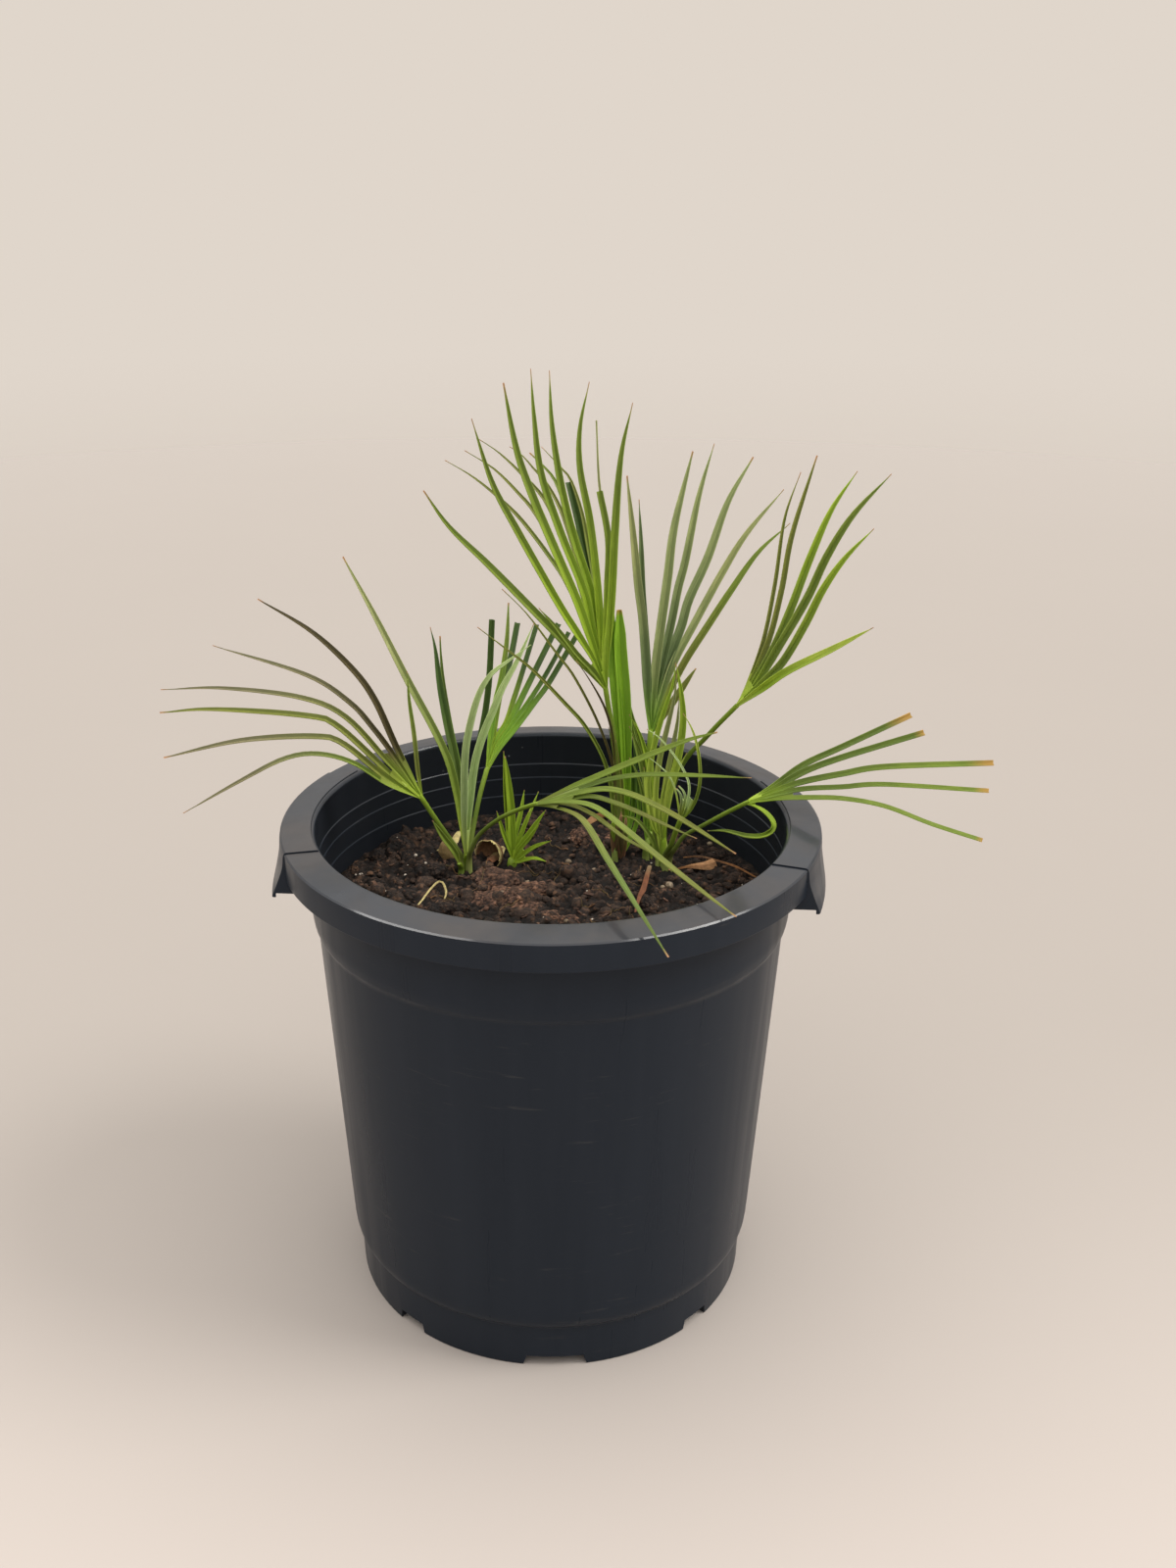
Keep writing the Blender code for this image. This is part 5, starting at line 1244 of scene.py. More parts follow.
def grow_frond(spec):
    bm = bmesh.new()
    foot = foot_on_soil(spec["foot"])
    hub = seen_at(*spec["hub"])
    path = stalk_path(foot, [seen_at(*point) for point in spec["stalk"]] + [hub])
    onward = (path[-1] - path[-2]).normalized()
    middle = 0.5 * (len(spec["leaflets"]) - 1)
    facing = Vector(spec.get("facing", RISING))
    fans = []
    for index, (depth, width, look, points) in enumerate(spec["leaflets"]):
        colours, dry, cut = look_of(look)
        start = hub - onward * (HUB_STEP * index)
        line = stations(leaflet_path(spec, depth, points, start), FAR_STATIONS, NEAR_STATIONS)
        twist = FAN_TWIST * (middle - index)
        fans.append(grow_blade(bm, line, width, facing, colours, dry, cut, twist, seed=float(index)))
    join_webs(bm, fans, spec.get("webs", WEB_REACH))
    thicken(bm, BLADE_THICK)
    radii = swollen(path, foot, *spec["radius"])
    path.append(path[-1] + onward * STALK_END)
    radii.append(0.6 * radii[-1])
    grow_stalk(bm, path, radii, STALK_TINTS, 20.0)
    name, colour = spec["name"], spec["colour"]
    piece_of(name + "_leaf", bm, LEAF_MATERIALS[colour], colour, [name])


for spec in FRONDS:
    grow_frond(spec)

# %% [markdown]
# ### Loose blades
# Between the clumps stand single blades that belong to no open fan, and the brown remains of old
# sheaths. They could be fans with hidden hubs, but they rise straight from the soil, so each is one
# blade with no stalk.

# %% Loose blades
STRAND_STATIONS = 34


def grow_strands(spec):
    bm = bmesh.new()
    spot = seen_on_soil(*spec["foot"])
    draw = random.Random(len(spec["name"]))
    for index, (width, look, points) in enumerate(spec["blades"]):
        colours, dry, _ = look_of(look)
        start = Vector((spot.x + draw.uniform(-3.0, 3.0), spot.y + draw.uniform(-2.0, 4.0), SOIL_TOP - 5.0))
        line = stations([start] + [seen_at(*point) for point in points], STRAND_STATIONS)
        twist = draw.uniform(-0.5, 0.5)
        grow_blade(bm, line, width, Vector(RISING), colours, dry, twist=twist, seed=float(index))
    thicken(bm, BLADE_THICK)
    piece_of(spec["name"], bm, LEAF_MATERIALS[spec["colour"]], spec["colour"])


for spec in STRANDS:
    grow_strands(spec)

# %% [markdown]
# ### Spear
# The newest leaf is still shut: its pleats lie on each other and end in one blunt dry point. Every
# pleat could be its own blade, but they would cut into each other. A broad folded blade with a
# narrower one half behind it reads as the pleats.

# %% Spear
SPEAR_FOOT = (CLUMP_C, 2.2, 2.4)
SPEAR_POINTS = [(637, 850, 68), (639, 812, 70), (638, 775, 71), (637, 740, 72), (635, 705, 73),
                (632, 665, 74), (631, 622, 75)]
SPEAR_WIDTHS = (3.2, 3.2, 3.4, 4.0, 5.0, 6.2, 7.2, 7.9, 8.2, 8.2, 7.9, 7.0, 3.0)
SPEAR_PLEATS = [(-0.4, 0.8, -3.4, 0.6), (0.1, 1.0, 0.4, 0.0)]
SPEAR_STATIONS = 44
SPEAR_THICK = 0.6


def along_list(values, share):
    place = share * (len(values) - 1)
    low = min(int(place), len(values) - 2)
    return values[low] + (values[low + 1] - values[low]) * (place - low)


def grow_spear():
    bm = bmesh.new()
    foot = foot_on_soil(SPEAR_FOOT)
    root = foot - Vector((0.0, 0.0, FOOT_SUNK))
    rise = [seen_at(*point) for point in SPEAR_POINTS]
    for turn, share, shift, behind in SPEAR_PLEATS:
        moved = [point + Vector((shift * min(1.0, index / 4.0), behind, 0.0))
                 for index, point in enumerate(rise)]
        line = stations([root, foot] + moved, SPEAR_STATIONS)
        facing = Matrix.Rotation(turn, 3, "Z") @ Vector(RISING)
        grow_blade(bm, line, 0.0, facing, ("sheath", "bud", "bud"), 0.02, cut=True, fold=0.3,
                   widths=lambda place: share * along_list(SPEAR_WIDTHS, place), seed=30.0)
    thicken(bm, SPEAR_THICK)
    piece_of("spear_middle_leaf", bm, LEAF_MATERIALS["leaf_bright"], "leaf_bright", ["spear_middle"])


grow_spear()

# %% [markdown]
# ## Soil
# Potting mix is crumbled bark and peat. Its body could be the CAD surface with a bumpy material, but
# crumbs this large have outlines and shadows of their own. So it starts as a fine grid trimmed to
# the pot, laid on the CAD soil's mounds by rays from above and roughened by layered noise. Loose
# lumps, clods, bark chips, white perlite and fine roots then lie on it. The noise module gets a
# seed, because its noise vectors would otherwise follow the clock and move the crumbs each run.

# %% Soil body
SOIL_RADIUS = 128.6
SOIL_CELLS = 236
SOIL_FLOOR = 3.2
SOIL_LOWEST = SOIL_TOP - 1.0
SOIL_WALL_GAP = 2.2
SOIL_CREASE = 60.0
RAY_START = 0.4
DOWN = Vector((0.0, 0.0, -1.0))
NOISE_SEED = 7
noise.seed_set(NOISE_SEED)


def crumb(spot, size):
    """A rounded lump in each cell of a broken pattern: 1 on its top, 0 in the cracks."""
    shifted = spot / size + 0.35 * noise.noise_vector(spot / size * 1.7)
    near, next_one = noise.voronoi(shifted)[0][:2]
    return min(max((next_one - near) * 1.6, 0.0), 1.0) ** 0.6


def soil_relief(spot):
    """The roughness of the soil at a place, in millimetres, and how open to light it is."""
    big = noise.fractal(spot * 0.035, 0.9, 2.1, 4, noise_basis="PERLIN_ORIGINAL")
    loose = min(max(0.55 + 1.1 * noise.noise(spot * 0.022 + Vector((7.0, 3.0, 0.0))), 0.15), 1.0)
    clods = crumb(spot, 15.0)
    lumps = crumb(spot + Vector((40.0, 9.0, 0.0)), 6.2)
    grains = crumb(spot + Vector((11.0, 70.0, 0.0)), 2.7)
    height = 2.6 * big + loose * 5.4 * (clods - 0.6) + 3.0 * (lumps - 0.6) + 1.2 * (grains - 0.5)
    return height, 0.4 * clods + 0.35 * lumps + 0.25 * grains


def soil_body():
    cad = ground_of(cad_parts["soil"])
    bm = bmesh.new()
    bmesh.ops.create_grid(bm, x_segments=SOIL_CELLS, y_segments=SOIL_CELLS, size=SOIL_RADIUS * MM)
    outside = [vert for vert in bm.verts if vert.co.xy.length > (SOIL_RADIUS - 0.6) * MM]
    bmesh.ops.delete(bm, geom=outside, context="VERTS")
    for edge in [edge for edge in bm.edges if edge.is_boundary]:
        for vert in edge.verts:
            vert.co.xy = vert.co.xy.normalized() * SOIL_RADIUS * MM
    bmesh.ops.remove_doubles(bm, verts=bm.verts, dist=0.1 * MM)
    bm.verts.layers.float.new("open")
    opened = bm.verts.layers.float["open"]
    for vert in bm.verts:
        spot = Vector((vert.co.x, vert.co.y, 0.0)) / MM
        inwards = Vector((vert.co.x * 0.99, vert.co.y * 0.99, RAY_START))
        hit = cad.ray_cast(inwards, DOWN)[0]
        level = max(hit.z / MM if hit else SOIL_TOP, SOIL_LOWEST)
        rim = min((SOIL_RADIUS - spot.length) / 8.0, 1.0)
        rough, vert[opened] = soil_relief(spot)
        vert.co.z = (level + rough * (0.35 + 0.65 * rim)) * MM
    border = [edge for edge in bm.edges if edge.is_boundary]
    foot = inner_radius(SOIL_FLOOR) - SOIL_WALL_GAP
    for vert in verts_of(bmesh.ops.extrude_edge_only(bm, edges=border)["geom"]):
        vert.co.z = SOIL_FLOOR * MM
        vert.co.xy = vert.co.xy.normalized() * foot * MM
    ring = [edge for edge in bm.edges if edge.is_boundary]
    bmesh.ops.contextual_create(bm, geom=ring)
    return bm


# Each mix: how deep its bump is, and its dark, light and fleck tones.
SOIL_FINISHES = {
    "soil_mix": (1.0, (0.014, 0.0086, 0.006), (0.086, 0.053, 0.037), (0.18, 0.095, 0.053)),
    "soil_dark": (1.0, (0.010, 0.006, 0.0045), (0.046, 0.029, 0.021), (0.13, 0.07, 0.042)),
    "soil_reddish": (1.0, (0.046, 0.023, 0.015), (0.33, 0.175, 0.112), (0.42, 0.22, 0.13)),
    "bark_chips": (0.6, (0.045, 0.022, 0.014), (0.13, 0.066, 0.04), (0.24, 0.14, 0.09)),
    "perlite": (0.5, (0.50, 0.44, 0.36), (0.78, 0.73, 0.64), (0.60, 0.50, 0.38)),
    "pebble_tan": (0.4, (0.15, 0.11, 0.07), (0.32, 0.25, 0.17), (0.42, 0.34, 0.24)),
}
HOLLOW_SHADE = (0.12, 0.11, 0.10)


def soil_material(name):
    bump, dark, light, fleck = SOIL_FINISHES[name]
    made, tree, shader, place = new_material(name, 0.93, 0.3)
    grain = noise_value(tree, place, 700.0, 5.0, 0.65)
    crumbs = add(tree, "ShaderNodeTexVoronoi", {"Vector": place, "Scale": 420.0}).outputs["Color"]
    tone = split(tree, crumbs)[0]
    cloud = noise_value(tree, place, 60.0, 4.0)
    colour = mixed(tree, ranged(tree, grain, 0.35, 0.7), dark, light)
    colour = mixed(tree, product(tree, ranged(tree, tone, 0.72, 0.95), 0.7), colour, fleck)
    colour = mixed(tree, ranged(tree, cloud, 0.35, 0.7, 0.0, 0.6), colour, dark)
    opened = attribute(tree, "open", "Fac")
    hollow = mixed(tree, 1.0, colour, HOLLOW_SHADE, "MULTIPLY")
    colour = mixed(tree, ranged(tree, opened, 0.34, 0.85), hollow, colour)
    feed(tree, shader, colour, ranged(tree, grain, 0.3, 0.7, 0.75, 0.98))
    bumped(tree, shader, maths(tree, "MULTIPLY_ADD", tone, 0.6, grain), bump, 0.0009)
    return made


SOILS = {name: soil_material(name) for name in SOIL_FINISHES}
GROUNDS = [ground_of(piece_of("soil_body", soil_body(), SOILS["soil_mix"], "soil", ["soil"], SOIL_CREASE))]


def soil_height(right, back):
    """The height of whatever lies on top at a place."""
    start = Vector((right * MM, back * MM, RAY_START))
    hits = [ground.ray_cast(start, DOWN)[0] for ground in GROUNDS]
    return max((hit.z / MM for hit in hits if hit), default=SOIL_TOP)


# %% [markdown]
# ### Lumps, chips and perlite
# Copies of a few lumps would show as copies. Each is therefore a small round mesh pushed about by
# random draws from a fixed seed, so that each run gives the same soil. Small ones have few faces,
# because there are hundreds. They are sunk a little into the ground that carries them. The big
# clods are of three kinds: the mix itself, a darker one on the left and a reddish one in the middle.

# %% Lumps, chips and perlite
CLUMP_FEET = [seen_on_soil(*clump) for clump in (CLUMP_A, CLUMP_B, CLUMP_C, CLUMP_M, CLUMP_D)]
BARE_RADIUS = 8.0
WALL_GAP = 1.5
TURN = 6.28
LUMP_ROUGHNESS = 0.3


def on_soil(right, down, size):
    """The spot seen there on the soil, kept clear of the pot's wall."""
    spot = seen_on_soil(right, down).xy
    spot *= min(1.0, (SOIL_RADIUS - WALL_GAP - size) / spot.length)
    return Vector((*spot, soil_height(*spot)))


def scatter(draw, reach, count, low, high):
    """Places on the soil with a size, more small ones than big ones, and none at the stalks."""
    for _ in range(count):
        angle = draw.uniform(0.0, 2.0 * math.pi)
        out = reach * math.sqrt(draw.random())
        size = low + (high - low) * draw.random() ** 2.5
        out = min(out, SOIL_RADIUS - WALL_GAP - size)
        right, back = out * math.cos(angle), out * math.sin(angle)
        if min((foot.xy - Vector((right, back))).length for foot in CLUMP_FEET) < BARE_RADIUS:
            continue
        yield Vector((right, back, soil_height(right, back))), size


def tumbled(bm, draw, made, tilt, axis, spot):
    """Turns a bit at random, tilts it and lays it at its spot."""
    turn = Matrix.Rotation(draw.uniform(0.0, TURN), 3, "Z")
    lean = Matrix.Rotation(draw.uniform(-tilt, tilt), 3, axis)
    bmesh.ops.rotate(bm, matrix=turn @ lean, verts=made)
    bmesh.ops.translate(bm, vec=spot * MM, verts=made)


def lump(bm, draw, centre, size, level=2, squat=0.75):
    """One broken lump."""
    opened = bm.verts.layers.float["open"]
    made = bmesh.ops.create_icosphere(bm, subdivisions=level, radius=size * MM)["verts"]
    shift = Vector([draw.uniform(0, 99) for _ in range(3)])
    stretch = Vector((draw.uniform(0.75, 1.25), draw.uniform(0.75, 1.25), squat * draw.uniform(0.8, 1.2)))
    for vert in made:
        rough = noise.turbulence(vert.co / (size * MM) * 1.7 + shift, 3, True)
        push = 1.0 + LUMP_ROUGHNESS * rough - 0.5 * LUMP_ROUGHNESS
        vert[opened] = min(max(0.75 + 0.5 * vert.co.z / (size * MM), 0.2), 1.0)
        vert.co = Vector(a * b for a, b in zip(vert.co * push, stretch))
    tumbled(bm, draw, made, 0.5, "X", centre + Vector((0.0, 0.0, 0.15 * size)))


def chip(bm, draw, centre, size):
    """A flat splinter of bark."""
    opened = bm.verts.layers.float["open"]
    made = bmesh.ops.create_cube(bm, size=1.0)["verts"]
    length, width, thick = size, size * draw.uniform(0.25, 0.6), size * draw.uniform(0.08, 0.2)
    bmesh.ops.scale(bm, vec=Vector((length, width, thick)) * MM, verts=made)
    for vert in made:
        vert[opened] = draw.uniform(0.5, 1.0)
        vert.co *= draw.uniform(0.75, 1.2)
    tumbled(bm, draw, made, 0.45, "Y", centre + Vector((0.0, 0.0, 0.6 * thick + 0.3)))


def opened_bmesh():
    """A new bmesh whose points can say how open to light they are."""
    bm = bmesh.new()
    bm.verts.layers.float.new("open")
    return bm


# The clods and pebbles that stand out in the picture: a place and a size in millimetres.
DARK_CLODS = [(402, 868, 11.5), (416, 877, 6.6), (386, 876, 6.0), (434, 895, 8.8)]
CLODS = [
    (381, 903, 6.0), (417, 915, 4.6), (446, 897, 5.6), (361, 906, 4.6), (399, 915, 4.4), (470, 930, 5.0),
    (612, 928, 6.0), (640, 905, 5.4), (691, 915, 4.0), (352, 888, 4.2), (366, 886, 4.6), (625, 942, 5.0),
    (660, 927, 5.0), (735, 874, 6.0), (600, 905, 6.5), (653, 945, 4.6), (585, 950, 4.8), (500, 945, 4.6),
    (455, 935, 4.4), (710, 905, 4.6),
]
RED_CLODS = [
    (507, 899, 16.0), (522, 915, 15.0), (496, 918, 12.0), (548, 908, 10.0), (540, 925, 11.0),
    (560, 933, 7.0), (580, 936, 6.0), (596, 858, 11.0), (626, 856, 8.0),
]
PEBBLES = [
    (580, 882, 2.3), (538, 899, 1.9), (606, 886, 1.6), (744, 854, 2.2), (683, 909, 2.6), (578, 942, 1.5),
    (676, 909, 1.5), (512, 916, 1.3),
]


def clods(name, places, surface, squat):
    """Broken clods of crumbs, sunk into the soil."""
    draw = random.Random(len(places))
    bm = opened_bmesh()
    opened = bm.verts.layers.float["open"]
    for right, down, size in places:
        spot = on_soil(right, down, 1.2 * size)
        made = bmesh.ops.create_icosphere(bm, subdivisions=5, radius=1.0)["verts"]
        turn = draw.uniform(0.85, 1.2)
        for vert in made:
            place = vert.co * size + Vector((right, down, 0.0))
            crumbs = 0.6 * crumb(place, 0.3 * size + 1.4) + 0.4 * crumb(place, 2.4)
            push = 0.86 + 0.24 * crumbs + 0.22 * noise.noise(vert.co * 1.4 + place * 0.01)
            vert[opened] = 0.2 + 0.8 * crumbs
            vert.co = Vector((vert.co.x * turn, vert.co.y / turn, vert.co.z * squat)) * (push * size * MM)
        bmesh.ops.translate(bm, vec=(spot - Vector((0.0, 0.0, 0.15 * size))) * MM, verts=made)
    GROUNDS.append(ground_of(piece_of(name, bm, SOILS[surface], "soil", crease=SOIL_CREASE)))


def soil_pieces():
    draw = random.Random(5)
    bm = opened_bmesh()
    for centre, size in scatter(draw, 126.0, 900, 0.8, 3.6):
        lump(bm, draw, centre, size, level=1 if size < 1.6 else 2)
    for centre, size in scatter(draw, 120.0, 60, 3.0, 6.5):
        lump(bm, draw, centre, size, level=3)
    GROUNDS.append(ground_of(piece_of("soil_lumps", bm, SOILS["soil_mix"], "soil", crease=SOIL_CREASE)))
    clods("soil_clods_dark", DARK_CLODS, "soil_dark", 1.0)
    clods("soil_clods", CLODS, "soil_mix", 0.92)
    clods("soil_clods_reddish", RED_CLODS, "soil_reddish", 0.55)
    bm = opened_bmesh()
    for centre, size in scatter(draw, 124.0, 260, 1.2, 5.0):
        chip(bm, draw, centre, size)
    piece_of("soil_chips", bm, SOILS["bark_chips"], "soil", crease=20.0)
    bm = opened_bmesh()
    for centre, size in scatter(draw, 120.0, 70, 0.35, 1.3):
        lump(bm, draw, centre, size, squat=0.9)
    piece_of("perlite_grains", bm, SOILS["perlite"], "soil", crease=40.0)
    bm = opened_bmesh()
    for right, down, size in PEBBLES:
        lump(bm, draw, on_soil(right, down, size) + Vector((0.0, 0.0, 0.2)), size, level=3)
    piece_of("pebbles", bm, SOILS["pebble_tan"], "soil", crease=40.0)


soil_pieces()

# %% [markdown]
# ## Litter
# Dry leaf and straw curl as they dry. A scrap could fall as a cloth does, but it is stiffer than
# that. Each is a folded strip like a leaflet, laid along points of the soil and lifted just clear
# of it. Its row gives its surface, its three tints, its points and its widths along them.

# %% Litter
SCRAPS = [
    ("dry_leaf_long", "leaf_dry", "blush rust rust", [(663, 893), (656, 914), (648, 938)], (2.4, 3.4, 1.2)),
    ("dry_leaf_wedge", "leaf_dry", "tan brown tan", [(682, 893), (700, 890.5), (714, 888), (730, 885)],
     (0.8, 1.4, 4.6, 7.4)),
    ("dry_leaf_strip", "leaf_dry", "brown husk brown", [(697, 877), (717, 879), (745, 888), (771, 900)],
     (0.9, 1.5, 1.5, 0.9)),
    ("straw_bent", "straw", "straw straw straw", [(427, 930), (437, 915), (449, 905), (455, 914), (454, 928)],
     (1.0, 1.2, 1.3, 1.2, 0.9)),
    ("husk_pale", "straw", "straw moss straw", [(449, 874), (459, 866), (469, 855)], (3.6, 6.4, 3.0)),
    ("husk_brown", "leaf_dry", "rust husk straw", [(500, 884), (508, 876), (514, 868)], (4.0, 6.5, 3.0)),
    ("bark_bit", "leaf_dry", "brown tan brown", [(598, 845), (607, 841), (618, 837)], (3.4, 5.0, 3.0)),
]
SCRAP_STATIONS = 26
SCRAP_THICK = 0.4
SCRAP_REACH = (-2.5, 0.0, 2.5)
SCRAP_LIFT = 0.5
SCRAP_SMOOTHINGS = 24
LITTER_SHADE = (0.4, 0.36, 0.34)


def litter_material(name, roughness):
    made, tree, shader, place = new_material(name, roughness, 0.3)
    tint = attribute(tree, "tint", "Color")
    across = split(tree, attribute(tree, "blade", "Vector"))[0]
    stripes = maths(tree, "SINE", product(tree, across, 26.0))
    grain = noise_value(tree, place, 420.0, 4.0)
    cloud = noise_value(tree, place, 120.0, 3.0)
    dark = mixed(tree, 1.0, tint, LITTER_SHADE, "MULTIPLY")
    colour = mixed(tree, ranged(tree, grain, 0.35, 0.7, 0.6, 0.0), tint, dark)
    colour = mixed(tree, ranged(tree, cloud, 0.5, 0.75, 0.0, 0.7), colour, dark)
    feed(tree, shader, colour, ranged(tree, grain, 0.3, 0.7, 0.7, 0.95))
    bumped(tree, shader, maths(tree, "ADD", stripes, grain), 0.6, 0.0002)
    return made


LITTER = {"leaf_dry": litter_material("leaf_dry", 0.8), "straw": litter_material("straw", 0.75)}


def lay_scrap(name, colour, look, points, widths):
    flat = stations([seen_on_soil(*point) for point in points], SCRAP_STATIONS)
    raised = []
    for spot in flat:
        under = [soil_height(spot.x + right, spot.y + back) for right in SCRAP_REACH for back in SCRAP_REACH]
        raised.append(max(under) + SCRAP_LIFT)
    levels = raised
    for _ in range(SCRAP_SMOOTHINGS):
        middle = [0.25 * a + 0.5 * b + 0.25 * c for a, b, c in zip(levels, levels[1:], levels[2:])]
        levels = [levels[0], *middle, levels[-1]]
    lift = 0.7 * max(high - level for high, level in zip(raised, levels))
    path = [Vector((spot.x, spot.y, level + lift)) for spot, level in zip(flat, levels)]
    bm = bmesh.new()
    grow_blade(bm, path, 0.0, Vector((0.0, -0.5, 0.87)), look.split(), 0.0, fold=-0.25,
               widths=lambda share: along_list(widths, share), twist=0.15)
    thicken(bm, SCRAP_THICK)
    piece_of(name + "_scrap", bm, LITTER[colour], colour, [name])


for scrap in SCRAPS:
    lay_scrap(*scrap)

# %% [markdown]
# ### Husks and fine roots
# A broken seed husk lies on each side of the left clump, and thin dead roots curl over the soil. A
# husk is a shallow shell cut from a ball, because the real one is a hull that has split open. A
# root is a very thin stalk that wanders, as a straight one would look like wire.

# %% Husks and fine roots
def husk(name, tints, centre, size, lean, turn):
    """A broken shell: part of a ball, pinched to an oval and tipped over."""
    bm = bmesh.new()
    blade, tint = layers_of(bm)
    made = bmesh.ops.create_uvsphere(bm, u_segments=28, v_segments=18, radius=1.0)["verts"]
    open_side = [vert for vert in made
                 if vert.co.x + 0.1 * math.sin(5.0 * vert.co.y + 3.0 * vert.co.z) > 0.15]
    bmesh.ops.delete(bm, geom=open_side, context="VERTS")
    for vert in bm.verts:
        rim = min(max((vert.co.x + 0.2) * 3.0, 0.0), 1.0)
        vert[tint] = (*blended(*tints, rim), 1.0)
        vert[blade] = (vert.co.y, vert.co.z, 0.0)
        vert.co *= 1.0 + 0.12 * noise.noise(vert.co * 3.0)
    spin = Matrix.Rotation(turn, 4, "Z") @ Matrix.Rotation(lean, 4, "Y")
    scale = Matrix.Diagonal((*(value * MM for value in size), 1.0))
    bmesh.ops.transform(bm, matrix=spin @ scale, verts=bm.verts)
    thicken(bm, 0.5)
    spot = seen_on_soil(*centre)
    rise = SOIL_TOP + 0.4 * size[2]
    bmesh.ops.translate(bm, vec=Vector((spot.x, spot.y, rise)) * MM, verts=bm.verts)
    piece_of(name, bm, LITTER["straw"], "straw")


husk("husk_left", ("hay", "straw"), (461, 873), (7.5, 6.5, 8.5), -0.35, 0.4)
# The right husk darkens away from its pale rim: partly its own brown, partly painted shade inside the open
# shell.
husk("husk_right", ("husk", "straw"), (498, 879), (8.5, 9.0, 9.5), -0.25, -2.0)

# The roots that the picture shows. Others wander at random.
SEEN_ROOTS = (
    [(532, 882), (539, 887), (549, 892), (563, 893), (577, 893)],
    [(498, 880), (495, 891), (490, 906), (479, 913)],
    [(345, 873), (358, 874), (372, 877)],
    [(560, 905), (566, 899), (571, 896), (574, 890)],
)
WANDERING_ROOTS = 26
ROOT_REACH = 116.0
ROOT_STATIONS = 16
ROOT_TINTS = ("husk", "umber", "husk")


def wandering_root(draw):
    """Points of a root that sets off somewhere on the soil and turns as it goes."""
    angle = draw.uniform(0.0, TURN)
    spot = Vector((draw.uniform(-88.0, 88.0), draw.uniform(-75.0, 75.0), 0.0))
    line = [spot.copy()]
    for _ in range(draw.randint(3, 6)):
        angle += draw.uniform(-0.7, 0.7)
        spot += Vector((math.cos(angle), math.sin(angle), 0.0)) * draw.uniform(2.5, 5.0)
        spot *= min(1.0, ROOT_REACH / spot.length)
        line.append(spot.copy())
    return line


def fine_roots():
    draw = random.Random(11)
    bm = bmesh.new()
    layers_of(bm)
    lines = [[on_soil(*point, 4.0) for point in points] for points in SEEN_ROOTS]
    lines += [wandering_root(draw) for _ in range(WANDERING_ROOTS)]
    for line in lines:
        path = [Vector((p.x, p.y, soil_height(p.x, p.y) + 0.3)) for p in stations(line, ROOT_STATIONS)]
        radius = draw.uniform(0.3, 0.55)
        radii = [radius * (1.0 - 0.5 * index / len(path)) for index in range(len(path))]
        grow_stalk(bm, path, radii, ROOT_TINTS, 3.0, sides=6)
    piece_of("fine_roots", bm, LITTER["leaf_dry"], "leaf_dry")


fine_roots()

# %% [markdown]
# ## Floor and light
# The floor is a pale warm sheet that fades into the backdrop's colour far out, so no horizon shows.
# Towards the front its colour is painted lighter, as painted light.
# A soft sun from the right stands for a large softbox, because its light is even over the whole
# plant. The backdrop light is weaker from the front, where a studio is dark. Two thin strips
# overhead draw the bright lines on the rim's chamfer, and only gloss sees them.

# %% Floor and light
BACKDROP = (0.745, 0.672, 0.598)
FLOOR_SIZE = 6.0
FLOOR_TONES = ((0.368, 0.337, 0.310), (0.378, 0.346, 0.318))
# The floor's lighter front colour is painted light.
FLOOR_FRONT_PAINTED_LIGHT = (0.572, 0.518, 0.483)
LIGHT_FRONT = (0.32, 0.315, 0.312)
LIGHT_BACK = (0.54, 0.51, 0.48)
LIGHT_ABOVE = (2.0, 1.91, 1.82)
SUN_POWER = 1.4
SUN_SOFTNESS = math.radians(24.0)
SUN_TONE = (1.0, 0.97, 0.93)
SUN_WAY = (-0.92, 0.12, -1.0)
STRIP_SIZE = (1.15, 0.14)
STRIP_PLACES = ((-0.98, -0.07, 1.59), (0.98, -0.07, 1.59))
STRIP_TURN = math.radians(36.0)
STRIP_POWER = 6.5
STRIP_TONE = (1.0, 0.98, 0.96)


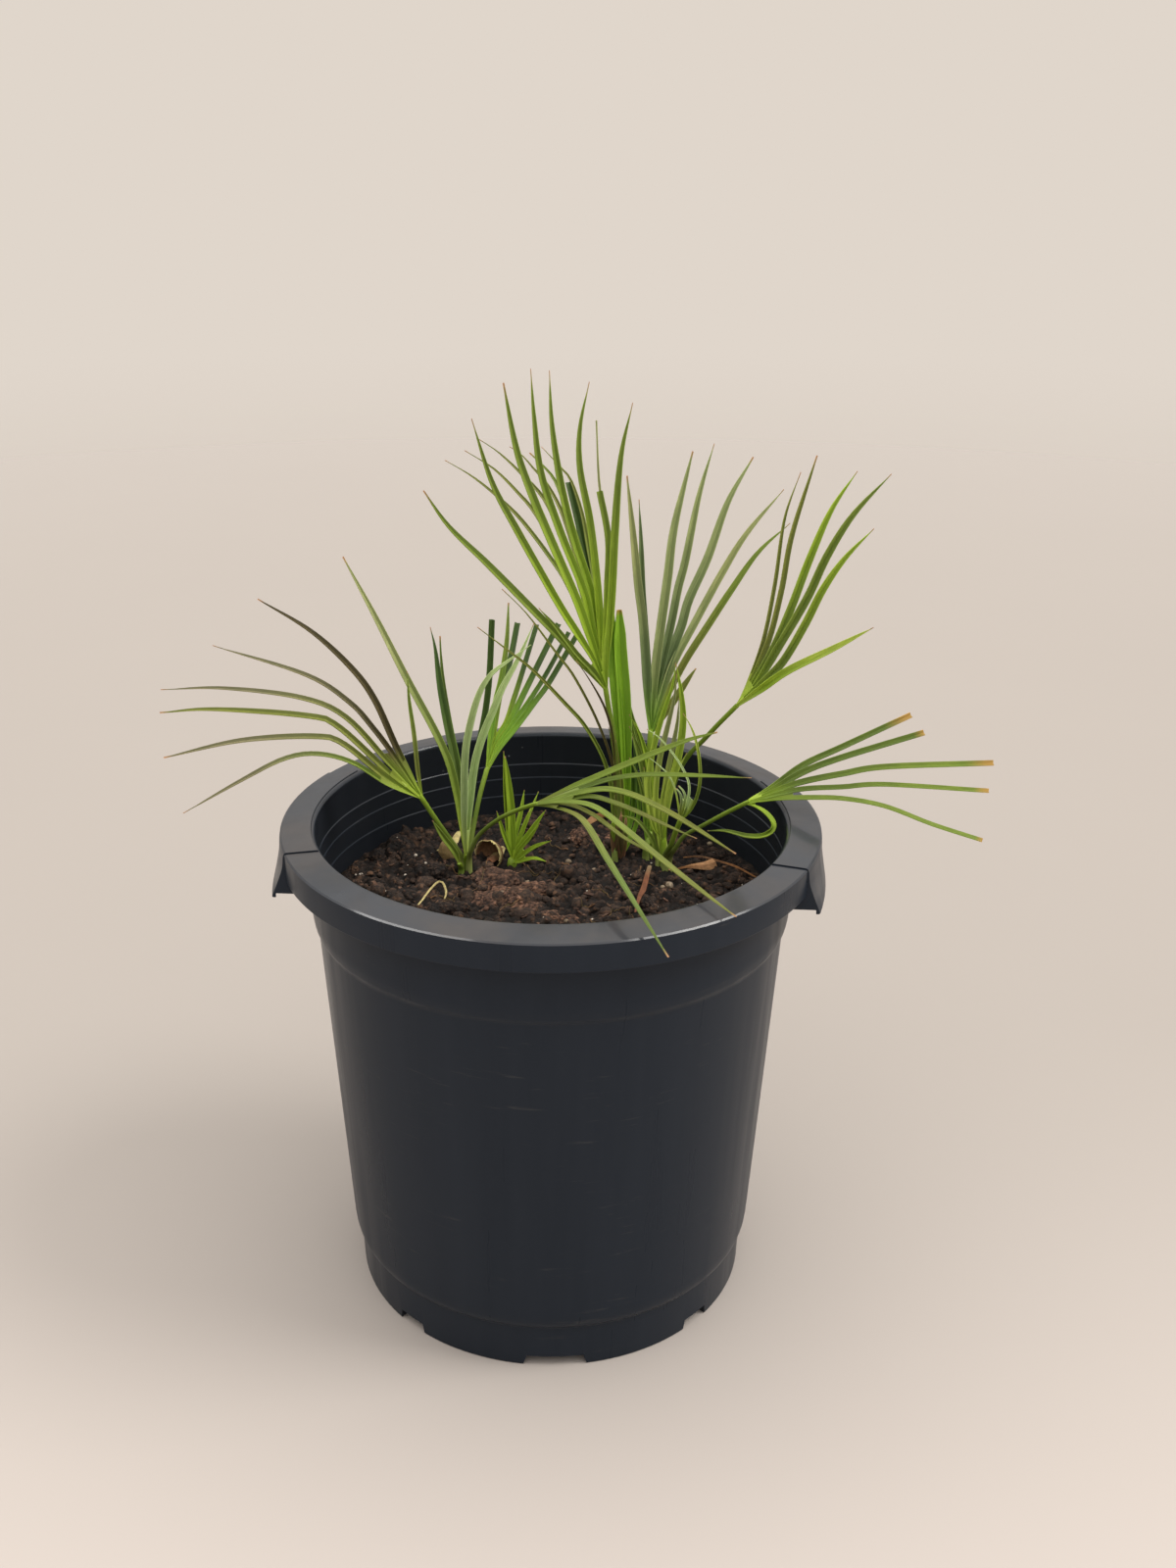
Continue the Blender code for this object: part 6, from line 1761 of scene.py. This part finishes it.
def floor_sheet():
    bm = bmesh.new()
    bmesh.ops.create_circle(bm, cap_ends=True, cap_tris=True, segments=96, radius=FLOOR_SIZE)
    floor = plain_object("floor", bm)
    made, tree, shader, place = new_material("floor_paper", 0.9, 0.1)
    colour = mixed(tree, noise_value(tree, place, 3.0, 3.0), *FLOOR_TONES)
    ahead = split(tree, place)[1]
    # Painted light: the floor grows lighter towards the front.
    colour = mixed(tree, ranged(tree, ahead, 0.3, -0.7), colour, FLOOR_FRONT_PAINTED_LIGHT)
    tree.links.new(colour, shader.inputs["Base Color"])
    out = add(tree, "ShaderNodeVectorMath", {0: place}, operation="LENGTH").outputs["Value"]
    tree.links.new(ranged(tree, out, 1.0, 4.5, 1.0, 0.0), shader.inputs["Alpha"])
    floor.data.materials.append(made)
    print("floor radius:", FLOOR_SIZE, "m")


def lamp(name, kind, power, tone):
    made = bpy.data.objects.new(name, bpy.data.lights.new(name, kind))
    bpy.context.scene.collection.objects.link(made)
    made.data.energy = power
    made.data.color = tone
    return made


def studio():
    world = bpy.data.worlds.new("studio")
    bpy.context.scene.world = world
    world.use_nodes = True
    tree = world.node_tree
    way = add(tree, "ShaderNodeTexCoord").outputs["Generated"]
    _, ahead, above = split(tree, way)
    low = mixed(tree, ranged(tree, ahead, -0.8, 0.1), LIGHT_FRONT, LIGHT_BACK)
    lit = mixed(tree, ranged(tree, above, 0.15, 0.95), low, LIGHT_ABOVE)
    seen = add(tree, "ShaderNodeLightPath").outputs["Is Camera Ray"]
    tree.links.new(mixed(tree, seen, lit, BACKDROP), tree.nodes["Background"].inputs["Color"])
    sun = lamp("key", "SUN", SUN_POWER, SUN_TONE)
    sun.data.angle = SUN_SOFTNESS
    sun.rotation_euler = Vector(SUN_WAY).to_track_quat("-Z", "Y").to_euler()
    for place in STRIP_PLACES:
        strip = lamp("strip", "AREA", STRIP_POWER, STRIP_TONE)
        strip.data.shape = "RECTANGLE"
        strip.data.size, strip.data.size_y = STRIP_SIZE
        strip.location = place
        strip.rotation_euler.z = math.copysign(STRIP_TURN, place[0])
        strip.visible_diffuse = False
    settings = bpy.context.scene.view_settings
    settings.view_transform = "Standard"
    settings.look = "None"
    print("lights: a soft sun and", len(STRIP_PLACES), "strips")


floor_sheet()
studio()
